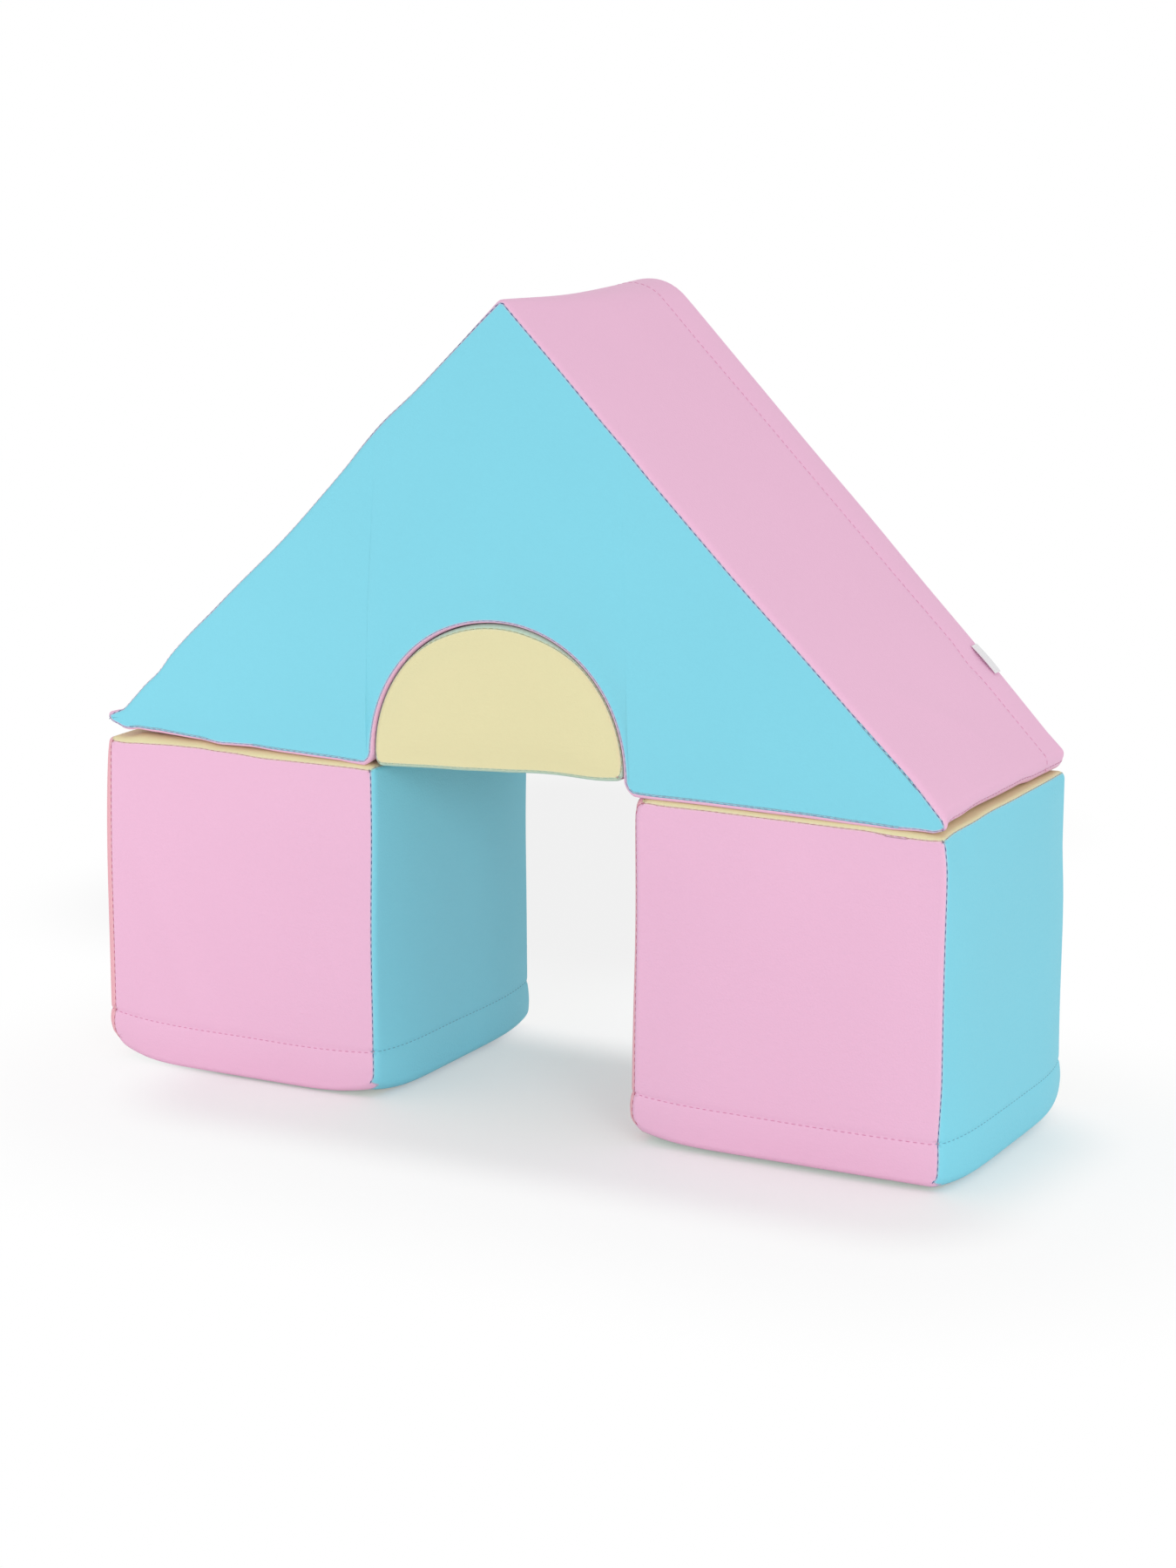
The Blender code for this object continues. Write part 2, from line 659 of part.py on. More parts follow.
def cube_panels(skin):
    """The four walls turn under the base, where the base panel is set in; the top meets them at the edges."""
    last = len(skin.rows) - 1
    under, back = ROLL_STEPS, last - ROLL_STEPS
    right, top = skin.corner("lower right"), skin.corner("upper right")
    left, end = skin.corner("upper left"), skin.count
    inner_left, inner_right = ARC_STEPS, right - ARC_STEPS
    return {
        "front_panel": ("pink leatherette", [("front", 0, 0, 0, 0), ("band", 0, right, 0, under)]),
        "back_panel": ("mint leatherette", [("back", 0, 0, 0, 0), ("band", 0, right, back, last)]),
        "right_panel": (
            "blue leatherette",
            [("band", right, top, 0, last), ("band", inner_right, right, under, back)],
        ),
        "left_panel": (
            "coral leatherette",
            [("band", left, end, 0, last), ("band", end, end + inner_left, under, back)],
        ),
        "top_panel": ("yellow leatherette", [("band", top, left, 0, last)]),
        "base_panel": ("mint leatherette", [("band", inner_left, inner_right, under, back)]),
    }


def gable_panels(front, back, upper, lower, upper_name, lower_name):
    """An upper and a lower band, which meet in the middle of the two end corners, and two end panels."""

    def listed(skin):
        last = len(skin.rows) - 1
        half = skin.end_rows // 2
        right, left = skin.columns + half, 2 * skin.columns + skin.end_rows + half
        return {
            "front_panel": (front, [("front", 0, 0, 0, 0)]),
            "back_panel": (back, [("back", 0, 0, 0, 0)]),
            upper_name: (upper, [("band", right, left, 0, last)]),
            lower_name: (lower, [("band", left, right + skin.count, 0, last)]),
        }

    return listed


def cube_block(left_pillow):
    reach = CUBE_DEPTH / 2 - EDGE_ROLL
    return {
        "outline": cube_outline,
        "relief": cube_relief(left_pillow),
        "settle": cube_settle,
        "panels": cube_panels,
        "depth": CUBE_DEPTH,
        "crown": CUBE_SIDE_CROWN,
        "rows": [reach * (2 * share - 1) for share in CUBE_SHARES],
        "zip_length": CUBE_ZIP_LENGTH,
        "zip_height": CUBE_ZIP_HEIGHT,
    }


def roof_block():
    reach = ROOF_DEPTH / 2 - EDGE_ROLL
    stitches = ROOF_DEPTH / 2 - HEM_DEPTH
    hem_rows = [stitches - 2 * HEM_GROOVE_WIDTH, stitches, stitches + HEM_GROOVE_WIDTH]
    hem_rows.append(stitches + HEM_DEPTH / 2)
    fore_rows = [-reach + (hem_rows[0] + reach) * share for share in evenly(FORE_SPANS)]
    return {
        "outline": roof_outline,
        "relief": roof_relief,
        "settle": roof_settle,
        "panels": gable_panels(
            "blue leatherette", "blue leatherette", "pink leatherette", "pink leatherette",
            "slope_band", "underside_band",
        ),
        "depth": ROOF_DEPTH,
        "crown": ROOF_FRONT_CROWN,
        "rows": fore_rows + hem_rows,
        "zip_length": ROOF_ZIP_LENGTH,
        "zip_height": ROOF_ZIP_HEIGHT,
    }


def half_round_block():
    return {
        "outline": half_round_outline,
        "relief": half_round_relief,
        "settle": half_round_settle,
        "panels": gable_panels(
            "yellow leatherette", "yellow leatherette", "mint leatherette", "mint leatherette",
            "arched_band", "base_band",
        ),
        "depth": HALF_ROUND_DEPTH,
        "crown": HALF_ROUND_CROWN,
        "rows": [0.0],
        "zip_length": HALF_ROUND_ZIP_LENGTH,
        "zip_height": HALF_ROUND_ZIP_HEIGHT,
    }


def add_label(parent, parts):
    """A folded tab with nothing on it, sewn flat to the right slope beside its back edge."""
    skin = Skin(roof_block())
    spans = math.floor(LABEL_SHARE * SLOPE_SPANS)
    foot = skin.corner("upper right") + spans
    edge = len(skin.rows) - 1 - ROLL_STEPS
    lower, upper = ((skin.band(place, edge - 1), skin.band(place, edge)) for place in (foot, foot + 1))
    foot_middle, head_middle = (lower[0] + lower[1]) / 2, (upper[0] + upper[1]) / 2
    middle = foot_middle.lerp(head_middle, LABEL_SHARE * SLOPE_SPANS - spans)
    along = (foot_middle - head_middle).normalized()
    out = along.cross((upper[1] + lower[1]) - (upper[0] + lower[0])).normalized()
    across = out.cross(along)
    label = bar("roof_label_tab", (LABEL_LENGTH, LABEL_WIDTH, LABEL_THICKNESS), parent, parts, (0, 0, 0))
    label.location = middle + out * (LABEL_SEAT + LABEL_THICKNESS / 2)
    label.rotation_euler = Matrix((along, across, out)).transposed().to_euler()
    label.data.materials.append(material("label satin"))


def add_empty(name, location, collection, parent=None):
    empty = bpy.data.objects.new(name, None)
    collection.objects.link(empty)
    empty.location = location
    empty.parent = parent
    return empty


def build():
    clear_scene()
    parts = new_collection("soft play house")
    tools = new_collection("cutters")
    cube_offset = (DOORWAY_WIDTH + CUBE_WIDTH) / 2
    roof_seat = CUBE_HEIGHT + CUBE_TOP_CROWN + RESTING_GAP

    left = add_empty("left cube block", (-cube_offset, 0.0, 0.0), parts)
    right = add_empty("right cube block", (cube_offset, 0.0, 0.0), parts)
    roof = add_empty("roof block", (0.0, 0.0, roof_seat), parts)
    half_round = add_empty("half-round block", (ARCH_OFFSET, 0.0, ARCH_CENTRE_RISE), parts, roof)
    add_block("left_cube", cube_block(LEFT_CUBE_PILLOW), left, parts, tools)
    add_block("right_cube", cube_block(RIGHT_CUBE_PILLOW), right, parts, tools)
    add_block("roof", roof_block(), roof, parts, tools)
    add_block("half_round", half_round_block(), half_round, parts, tools)
    add_label(roof, parts)


build()
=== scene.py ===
# %% [markdown]
# # A soft play house
# Four loose foam blocks make a small house: two cubes, a gabled roof with an arch in it, and a
# half-round block in that arch. Each block is foam in a sewn cover of thin leatherette.
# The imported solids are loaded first. They fix every place and size, and this script dresses them.

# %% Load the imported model
import math

import bmesh
import bpy
import numpy as np
from mathutils import Matrix, Vector
from mathutils.kdtree import KDTree


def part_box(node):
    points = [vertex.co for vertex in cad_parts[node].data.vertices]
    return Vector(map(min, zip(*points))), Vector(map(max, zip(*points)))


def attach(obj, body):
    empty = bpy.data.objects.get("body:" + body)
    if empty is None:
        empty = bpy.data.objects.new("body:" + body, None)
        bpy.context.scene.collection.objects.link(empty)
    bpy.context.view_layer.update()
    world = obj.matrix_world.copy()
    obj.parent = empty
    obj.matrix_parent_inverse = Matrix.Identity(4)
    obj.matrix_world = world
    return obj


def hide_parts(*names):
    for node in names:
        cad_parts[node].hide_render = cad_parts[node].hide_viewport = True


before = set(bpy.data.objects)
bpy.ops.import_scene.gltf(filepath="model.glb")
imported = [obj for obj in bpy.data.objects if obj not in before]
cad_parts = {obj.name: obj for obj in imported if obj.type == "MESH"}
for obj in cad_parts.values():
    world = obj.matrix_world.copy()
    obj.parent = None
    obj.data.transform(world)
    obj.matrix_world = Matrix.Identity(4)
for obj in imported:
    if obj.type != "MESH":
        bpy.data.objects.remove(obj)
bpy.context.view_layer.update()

MM = 0.001


# %% Two helpers for new objects and meshes
def new_object(name, data):
    made = bpy.data.objects.new(name, data)
    bpy.context.scene.collection.objects.link(made)
    return made


def mesh_data(name, mesh, material):
    """Turns an edited mesh into mesh data with a material."""
    data = bpy.data.meshes.new(name)
    mesh.to_mesh(data)
    mesh.free()
    data.materials.append(material)
    return data


# %% [markdown]
# ## Camera
# A camera is a place, a direction and a lens. It could be aimed with a constraint, but written as an
# azimuth, an elevation and a small roll it is easy to compare with a real camera on a tripod.

# %% Camera
CAMERA_PLACE = Vector((1.4620, -2.7736, 0.9626))
CAMERA_AZIMUTH, CAMERA_ELEVATION, CAMERA_ROLL = 27.627, 12.071, 0.324
LENS_MM = 77.6


def camera_matrix():
    azimuth, elevation, roll = (math.radians(a) for a in (CAMERA_AZIMUTH, CAMERA_ELEVATION, CAMERA_ROLL))
    flat = math.cos(elevation)
    back = Vector((math.sin(azimuth) * flat, -math.cos(azimuth) * flat, math.sin(elevation)))
    level = Vector((math.cos(azimuth), math.sin(azimuth), 0.0))
    upright = back.cross(level)
    right = level * math.cos(roll) + upright * math.sin(roll)
    matrix = Matrix((right, back.cross(right), back)).transposed().to_4x4()
    matrix.translation = CAMERA_PLACE
    return matrix


lens = bpy.data.cameras.new("studio camera")
lens.lens = LENS_MM
lens.sensor_fit = "AUTO"
camera = new_object("studio camera", lens)
camera.matrix_world = camera_matrix()
bpy.context.scene.camera = camera
bpy.context.scene.view_settings.view_transform = "Standard"

# %% [markdown]
# ## Nodes and colours
# Every material below is a small graph of nodes. One helper adds a node and sets its properties, and
# another either links an input or gives it a value. Colours are written as sRGB hex, as a picture
# editor shows them, and one function turns them to the linear values that the shader works in.


# %% Helpers for node graphs and colours
def set_inputs(tree, node, inputs):
    for name, value in inputs.items():
        if isinstance(value, bpy.types.NodeSocket):
            tree.links.new(value, node.inputs[name])
        else:
            node.inputs[name].default_value = value


def add_node(tree, kind, inputs=None, **settings):
    made = tree.nodes.new(kind)
    for name, value in settings.items():
        setattr(made, name, value)
    set_inputs(tree, made, inputs or {})
    return made


def linear(colour):
    channels = []
    for start in (1, 3, 5):
        value = int(colour[start:start + 2], 16) / 255
        channels.append(value / 12.92 if value <= 0.04045 else ((value + 0.055) / 1.055) ** 2.4)
    return (*channels, 1.0)


def new_material(name):
    made = bpy.data.materials.new(name)
    made.use_nodes = True
    return made, made.node_tree, made.node_tree.nodes["Principled BSDF"]


def maths(tree, operation, *values):
    return add_node(tree, "ShaderNodeMath", dict(enumerate(values)), operation=operation).outputs[0]


def blend_colours(tree, factor, first, second):
    mixed = add_node(tree, "ShaderNodeMix", {0: factor, 6: first, 7: second}, data_type="RGBA")
    return mixed.outputs[2]


def map_range(tree, value, start, end, low, high, way="LINEAR"):
    levels = {"Value": value, "From Min": start, "From Max": end, "To Min": low, "To Max": high}
    return add_node(tree, "ShaderNodeMapRange", levels, interpolation_type=way).outputs[0]


def bump(tree, height, strength, distance_mm, below=None):
    levels = {"Height": height, "Strength": strength, "Distance": distance_mm * MM}
    if below is not None:
        levels["Normal"] = below
    return add_node(tree, "ShaderNodeBump", levels).outputs[0]


def object_place(tree):
    return add_node(tree, "ShaderNodeTexCoord").outputs["Object"]


def pattern(tree, kind, scale, inputs=None, **settings):
    """The outputs of a texture that is laid out on the object's own coordinates."""
    place = {"Vector": object_place(tree), "Scale": scale}
    return add_node(tree, "ShaderNodeTex" + kind, {**place, **(inputs or {})}, **settings).outputs


def patterned(name, kind, scale, colours, roughness, relief=None, inputs=None, metallic=0.0, **settings):
    """A material with one pattern, which may blend two colours, vary the roughness and raise a relief."""
    made, tree, shader = new_material(name)
    height = pattern(tree, kind, scale, inputs, **settings)["Distance" if kind == "Voronoi" else "Fac"]
    levels = {"Base Color": linear(colours[0]), "Roughness": roughness[0], "Metallic": metallic}
    if len(colours) > 1:
        levels["Base Color"] = blend_colours(tree, height, *map(linear, colours))
    if len(roughness) > 1:
        levels["Roughness"] = map_range(tree, height, 0.0, 1.0, *roughness)
    if relief:
        levels["Normal"] = bump(tree, height, *relief)
    set_inputs(tree, shader, levels)
    return made


# %% [markdown]
# ## Studio
# The house stands on a pale floor in even light. A dome of white light does most of the work. A
# large soft lamp beyond the right of the camera models the forms, and a weak one near the left cube
# reaches under the roof and into the doorway. Each lamp is a place, a target, a size in metres and a
# power in watts. The floor keeps the shadow of the house: it glows plain white to the camera further
# out, so that no horizon shows. Behind the house its glow is dimmed a little, which paints a soft
# shadow of the house on the floor there. Two rectangles say where, and ramps over the distance from
# them, in metres, say how fast.

# %% Studio floor, dome and lamps
DOME_STRENGTH = 0.76
FLOOR_COLOUR = "#f6f6f5"
LEFT_LAMP = ((-0.85, -0.85, 0.3), (-0.1, 0.0, 0.35), 1.0, 1.75)
RIGHT_LAMP = ((2.8, -2.6, 1.4), (0.0, 0.0, 0.3), 1.4, 33.0)
SHADOW_CENTRE, SHADOW_HALF = (0.08, -0.09), (0.33, 0.10)
# The second rectangle and the last ramp place a painted shadow behind the house: there the floor's white glow
# is dimmed to 0.875.
PAINTED_SHADOW_CENTRE, PAINTED_SHADOW_HALF = (-0.42, 0.80), (0.22, 0.36)
GLOW_RAMPS = ((0.04, 0.15, 0.28, 0.8), (0.12, 0.42, 0.0, 0.2))
PAINTED_SHADOW_RAMP = (0.0, 0.34, 0.875, 1.0)


def seen_directly(tree):
    """1 where a ray comes from the camera or by way of a mirror-like bounce."""
    path = add_node(tree, "ShaderNodeLightPath").outputs
    some = maths(tree, "MAXIMUM", path["Is Camera Ray"], path["Is Glossy Ray"])
    return maths(tree, "MAXIMUM", some, path["Is Transmission Ray"])


def light_dome():
    world = bpy.data.worlds.new("studio dome")
    world.use_nodes = True
    bpy.context.scene.world = world
    tree = world.node_tree
    strength = map_range(tree, seen_directly(tree), 0.0, 1.0, DOME_STRENGTH, 1.0)
    set_inputs(tree, tree.nodes["Background"], {"Color": (1.0, 1.0, 1.0, 1.0), "Strength": strength})


def soft_lamp(name, place, target, size, power):
    lamp = bpy.data.lights.new(name, "AREA")
    lamp.shape = "DISK"
    lamp.size = size
    lamp.energy = power
    holder = new_object(name, lamp)
    holder.location = place
    holder.rotation_euler = (Vector(place) - Vector(target)).to_track_quat("Z", "Y").to_euler()


def floor_distance(tree, centre, half):
    """How far a spot on the floor is from a rectangle with a given centre and half size."""
    spot = object_place(tree)
    for way, other in (
        ("SUBTRACT", {1: (*centre, 0.0)}),
        ("ABSOLUTE", {}),
        ("SUBTRACT", {1: (*half, 1.0)}),
        ("MAXIMUM", {1: (0.0, 0.0, 0.0)}),
    ):
        spot = add_node(tree, "ShaderNodeVectorMath", {0: spot, **other}, operation=way).outputs[0]
    return add_node(tree, "ShaderNodeVectorMath", {0: spot}, operation="LENGTH").outputs["Value"]


def paper_sweep():
    """Matt white paper that keeps a shadow near the house, glows white further out, and carries a painted
    shadow behind the house, where its glow is dimmed.
    """
    paper, tree, shader = new_material("matt white paper sweep")
    levels = {"Base Color": linear(FLOOR_COLOUR), "Roughness": 0.9, "Specular IOR Level": 0.2}
    set_inputs(tree, shader, levels)
    near = floor_distance(tree, SHADOW_CENTRE, SHADOW_HALF)
    close, far = (map_range(tree, near, *ramp, "SMOOTHSTEP") for ramp in GLOW_RAMPS)
    share = maths(tree, "MULTIPLY", maths(tree, "ADD", close, far), seen_directly(tree))
    # Painted shadow: behind the house the white glow is dimmed, so the floor reads darker there.
    strength = map_range(tree, floor_distance(tree, PAINTED_SHADOW_CENTRE, PAINTED_SHADOW_HALF), *PAINTED_SHADOW_RAMP, "SMOOTHSTEP")
    glow = add_node(tree, "ShaderNodeEmission", {"Color": (1.0, 1.0, 1.0, 1.0), "Strength": strength})
    mix = add_node(tree, "ShaderNodeMixShader", {0: share, 1: shader.outputs[0], 2: glow.outputs[0]})
    set_inputs(tree, tree.nodes["Material Output"], {"Surface": mix.outputs[0]})
    return paper


def studio_floor():
    mesh = bmesh.new()
    bmesh.ops.create_grid(mesh, x_segments=8, y_segments=8, size=7.0)
    floor = new_object("studio_floor", mesh_data("studio_floor", mesh, paper_sweep()))
    floor.location = (0.0, 0.0, -0.4 * MM)


light_dome()
soft_lamp("left lamp", *LEFT_LAMP)
soft_lamp("right lamp", *RIGHT_LAMP)
studio_floor()

# %% [markdown]
# ## Leatherette
# The covers are PU leatherette: a knitted backing with a thin, embossed plastic skin. It gives the
# eye a calm satin colour, a fine pebble grain, shallow level creases where it is drawn over the
# foam, and small puckers wherever a thread pulls it down. The grain could be a picture. Here
# textures make it from its real size, so that it holds at any distance. Three attributes, which the
# panels carry, tell the material how far a point is from a seam or a row of stitches, and how far
# along the row it lies.

# %% Leatherette material
GRAIN_MM = 1.6
CREASE_MM = (16.0, 16.0, 3.4)
STITCH_PITCH, STITCH_LENGTH = 6.6 * MM, 4.6 * MM
PUCKER_REACH = 3.5 * MM


def leatherette(name, colour, edge_colour, creased):
    made, tree, shader = new_material(name)
    pebbles = pattern(tree, "Voronoi", 1.0 / (GRAIN_MM * MM), {"Smoothness": 0.6}, feature="SMOOTH_F1")
    grain = pebbles["Distance"]
    cast = pattern(tree, "Noise", 6.0, {"Detail": 2.0})["Fac"]
    seam, row, run = (
        add_node(tree, "ShaderNodeAttribute", attribute_name=key).outputs["Fac"]
        for key in ("seam_distance", "stitch_distance", "stitch_run")
    )

    # Colour: a slow cast over the panel, and a paler colour within 2 mm of each seam.
    shade = map_range(tree, cast, 0.3, 0.7, 0.992, 1.008)
    body = add_node(tree, "ShaderNodeVectorMath", {0: linear(colour)[:3], "Scale": shade}, operation="SCALE")
    edge = map_range(tree, seam, 0.3 * MM, 2.0 * MM, 0.7, 0.0)
    skin = blend_colours(tree, edge, body.outputs[0], linear(edge_colour))

    # Relief: puckers between the stitches, level creases, and grain everywhere.
    wave = maths(tree, "COSINE", maths(tree, "MULTIPLY", run, 2.0 * math.pi / STITCH_PITCH))
    near = map_range(tree, row, 0.0, PUCKER_REACH, 1.0, 0.0, "SMOOTHSTEP")
    relief = bump(tree, maths(tree, "MULTIPLY", wave, near), 0.5, 0.3)
    sizes = tuple(1.0 / (size * MM) for size in CREASE_MM)
    drawn = add_node(tree, "ShaderNodeVectorMath", {0: object_place(tree), 1: sizes}, operation="MULTIPLY")
    creases = add_node(tree, "ShaderNodeTexNoise", {"Vector": drawn.outputs[0], "Scale": 1.0, "Detail": 2.0})
    relief = bump(tree, creases.outputs["Fac"], creased, 0.35, relief)
    relief = bump(tree, grain, 0.45, 0.30, relief)
    gloss = map_range(tree, grain, 0.0, 0.8, 0.46, 0.58)
    levels = {"Base Color": skin, "Roughness": gloss, "Specular IOR Level": 0.35, "Normal": relief}
    set_inputs(tree, shader, levels)
    return made


COLOURS = {
    "pink": ("rose pink leatherette", "#eebbd8", "#f3c9e0"),
    "blue": ("sky blue leatherette", "#82d7ea", "#a8dfee"),
    "yellow": ("lemon yellow leatherette", "#e6deae", "#eee8c2"),
    "coral": ("coral leatherette", "#eeb0bb", "#f3c2ca"),
    "mint": ("mint green leatherette", "#bcd9c3", "#cfe4d4"),
}
LEATHER = {key: leatherette(*facts, creased=0.5) for key, facts in COLOURS.items()}
ROOF_BLUE = leatherette("sky blue leatherette of the roof", *COLOURS["blue"][1:], creased=0.12)
print("leatherettes:", [m.name for m in LEATHER.values()], ROOF_BLUE.name)

# %% [markdown]
# ## The outline of a block
# Seen from the front, each block is a closed outline with rounded corners. It is written as four
# stretches of points, each point with its outward direction. A stretch could be drawn as a curve
# object, but plain arrays are easier to bend, crown and cut into panels later.


# %% Arcs and straight stretches
def arc(centre, radius, start, end, steps, facing=1.0):
    """Points of an arc between two angles in degrees, each with its direction: rows of x, z, dx, dz."""
    angles = np.radians(np.linspace(start, end, steps + 1))
    direction = np.stack((np.cos(angles), np.sin(angles)), axis=1)
    return np.hstack((np.asarray(centre) + direction * radius, direction * facing))


def along(start, end, shares):
    """Points between two points that face the same way."""
    shares = np.asarray(shares)[:, None]
    points = start[:2] + (end[:2] - start[:2]) * shares
    return np.hstack((points, np.repeat(start[None, 2:], len(shares), axis=0)))


def inner(count):
    return np.linspace(0.0, 1.0, count + 1)[1:-1]


def row_lengths(row):
    """How far along a row of points each point lies."""
    return np.concatenate(([0.0], np.cumsum(np.linalg.norm(np.diff(row, axis=0), axis=1))))


def swell(share):
    """Zero at both edges of a panel and one in its middle, steep at the edges as a stuffed cover is."""
    return 1.0 - (2.0 * np.clip(share, 0.0, 1.0) - 1.0) ** 4


def hump(offset, width):
    """One in the middle, and all but gone at twice the width."""
    return np.exp(-((offset / width) ** 2))


BOTTOM, RIGHT, TOP, LEFT = range(4)

# %% [markdown]
# ## The cube's outline, hem and foot
# A cube's walls stand on a foot that bulges, and a hem 45 mm high is topstitched round it. Points
# lie closer together at the hem, because the groove that the thread pulls is only a few millimetres
# wide.

# %% Cube shape
EDGE_ROLL = 7.0 * MM
SEAM_ANGLE = 23.0
HEM_DEPTH, HEM_PUFF, GROOVE, GROOVE_WIDTH = 45.0 * MM, 1.3 * MM, 0.7 * MM, 2.2 * MM
CUBE_HALF, CUBE_HEIGHT, CUBE_ROLL = 150.0 * MM, 322.5 * MM, 12.0 * MM
CUBE_CROWNS, TOP_SAG, PILLOW_REACH = (0.0, 5.0 * MM, 3.0 * MM, 5.0 * MM), 1.4 * MM, 10 * MM
LIFT_HEIGHT, BULGE_HEIGHT, RAMP_START = 60 * MM, 80 * MM, 0.4
FOOT_STEPS = 7
HEM_LEVELS = HEM_DEPTH + np.array([-28, -22, -16, -10, -6, -3.5, -2, -1, 0, 1, 2, 3.5, 6, 10, 16]) * MM
FACE_SHARES = np.concatenate(([0.015, 0.035, 0.06], np.linspace(0.09, 0.91, 38), [0.94, 0.965, 0.985]))


def wall_shares():
    low, high = CUBE_ROLL, CUBE_HEIGHT - EDGE_ROLL
    levels = np.concatenate((HEM_LEVELS, np.linspace(68 * MM, 306 * MM, 34)))
    return (levels - low) / (high - low)


def cube_outline(splits):
    """A cube's outline; its top panel meets the two walls at given angles of their rounded edge."""
    walls = {}
    for side, turn, facing, split in (("left", -1, 180.0, splits[0]), ("right", 1, 0.0, splits[1])):
        foot = (turn * (CUBE_HALF - CUBE_ROLL), CUBE_ROLL)
        head = (turn * (CUBE_HALF - EDGE_ROLL), CUBE_HEIGHT - EDGE_ROLL)
        lower = arc(foot, CUBE_ROLL, facing - 45 * turn, facing, FOOT_STEPS)
        upper = arc(head, EDGE_ROLL, facing, facing + split * turn, 4)
        walls[side] = np.vstack((lower, along(lower[-1], upper[0], wall_shares()), upper))
    for side, roll, level, turn, ends in (
        ("bottom", CUBE_ROLL, CUBE_ROLL, -1, (45, 45)),
        ("top", EDGE_ROLL, CUBE_HEIGHT - EDGE_ROLL, 1, splits),
    ):
        start = arc((roll - CUBE_HALF, level), roll, (180 - ends[0]) * turn, 90 * turn, 6)
        end = arc((CUBE_HALF - roll, level), roll, 90 * turn, ends[1] * turn, 6)
        walls[side] = np.vstack((start, along(start[-1], end[0], FACE_SHARES), end))
    return walls


def hem_relief(distance):
    """How a turned and topstitched hem lies: a puff, and a groove at its thread."""
    puff = HEM_PUFF * np.sin(np.pi * np.clip(distance / HEM_DEPTH, 0.0, 1.0))
    groove = GROOVE * hump(distance - HEM_DEPTH, GROOVE_WIDTH)
    return puff - groove


def pillow(depth_share):
    """Zero at the front and the back seam, and one from a short way inside them, rounded like a pillow."""
    distance = np.minimum(depth_share, 1.0 - depth_share) * 2 * CUBE_HALF
    return np.sqrt(np.clip(1.0 - np.clip(1.0 - distance / PILLOW_REACH, 0.0, 1.0) ** 2, 0.0, 1.0))


def cube_relief(left_pillow, left_out):
    """Crowned walls; the left one may stand proud of its seams, and its seams may lie further out."""

    def relief(side, share, depth_share):
        crown = np.choose(side, CUBE_CROWNS) * swell(share) * swell(depth_share)
        crown -= np.where(side == TOP, TOP_SAG * swell(share), 0.0) * (1.0 - swell(depth_share))
        proud = left_pillow * pillow(depth_share) + left_out
        return crown + np.where(side == LEFT, proud * np.sqrt(swell(share)), 0.0)

    return relief


def corner_ramp(offset):
    """Zero over the middle part of a cube's width, rising to one at its sides."""
    return np.clip((np.abs(offset) / CUBE_HALF - RAMP_START) / (1.0 - RAMP_START), 0.0, 1.0) ** 3


def cube_settle(side_bulge, front_bulge, front_lift, corner_lifts):
    """The foot bulges, a hem goes round it, and the corners and the front edge are pulled up."""

    def settle(points):
        x, y, z = points[..., 0], points[..., 1], points[..., 2]
        hem = hem_relief(z)
        falls = hump(z, BULGE_HEIGHT)
        side = np.where(x > 0, side_bulge[1], side_bulge[0]) * falls * swell(0.5 + y / (2 * CUBE_HALF))
        ahead = np.where(y < 0, front_bulge, 0.0) * falls * swell(0.5 + x / (2 * CUBE_HALF))
        risen = np.clip(z / LIFT_HEIGHT, 0.0, 1.0)
        fall = 1.0 - risen**2 * (3.0 - 2.0 * risen)
        front = np.where(x < 0, corner_lifts[0], corner_lifts[1])
        lift = np.where(y < 0, front, np.where(x < 0, corner_lifts[2], corner_lifts[3]))
        lift = lift * corner_ramp(x) * corner_ramp(y)
        lift = lift + np.where(y < 0, front_lift, 0.0) * corner_ramp(y)
        wide, deep = 1 + (hem + side) / CUBE_HALF, 1 + (hem + ahead) / CUBE_HALF
        return np.stack((x * wide, y * deep, z + lift * fall), axis=-1)

    return settle


# %% [markdown]
# ## The roof's outline
# The gable is a triangle with an arch cut from its foot. The columns of points run straight up from
# the underside or the arch to the slopes, so that the front panel has an even mesh. The ridge is
# sharp in front. Towards the back the loose cover is fuller, so the slopes stand out there. Each
# wave of the left slope is a middle and a width, as shares of the slope, and a height in millimetres.
# Each step of the feet's front edge is a place and how far it hangs down there, in millimetres.

# %% Roof shape
ROOF_HALF, ROOF_RISE, TIP_ROLLS = 446.0 * MM, 434.0 * MM, (7.0 * MM, 11.0 * MM)
ARCH_RADIUS, ARCH_LEVEL, LIP_ROLL, ARCH_OFFSET = 130.0 * MM, 11.0 * MM, 11.0 * MM, -6.2 * MM
PITCH = math.atan2(ROOF_RISE, ROOF_HALF)
RIDGE_ROLLS = (7.0 * MM, 53.0 * MM)
RIDGE_COLUMNS = np.array([0.0, 1.2, 2.4, 3.8, 5.4, 7.5, 10.0, 13.0, 17.0, 22.0, 28.0, 34.0]) * MM
LEFT_WAVES = ((0.10, 0.04, -2.0), (0.21, 0.05, 1.0), (0.49, 0.13, -3.9), (0.71, 0.06, 3.4))
RIGHT_DRAW = 4.0 * MM
BACK_FULLNESS, RIDGE_FULLNESS = 10.5 * MM, 5.0 * MM
SLOPE_CROWN, RIDGE_CROWN = 2.0 * MM, 1.2 * MM
TIP_CURL, CURL_LENGTH = 9.0 * MM, 110 * MM
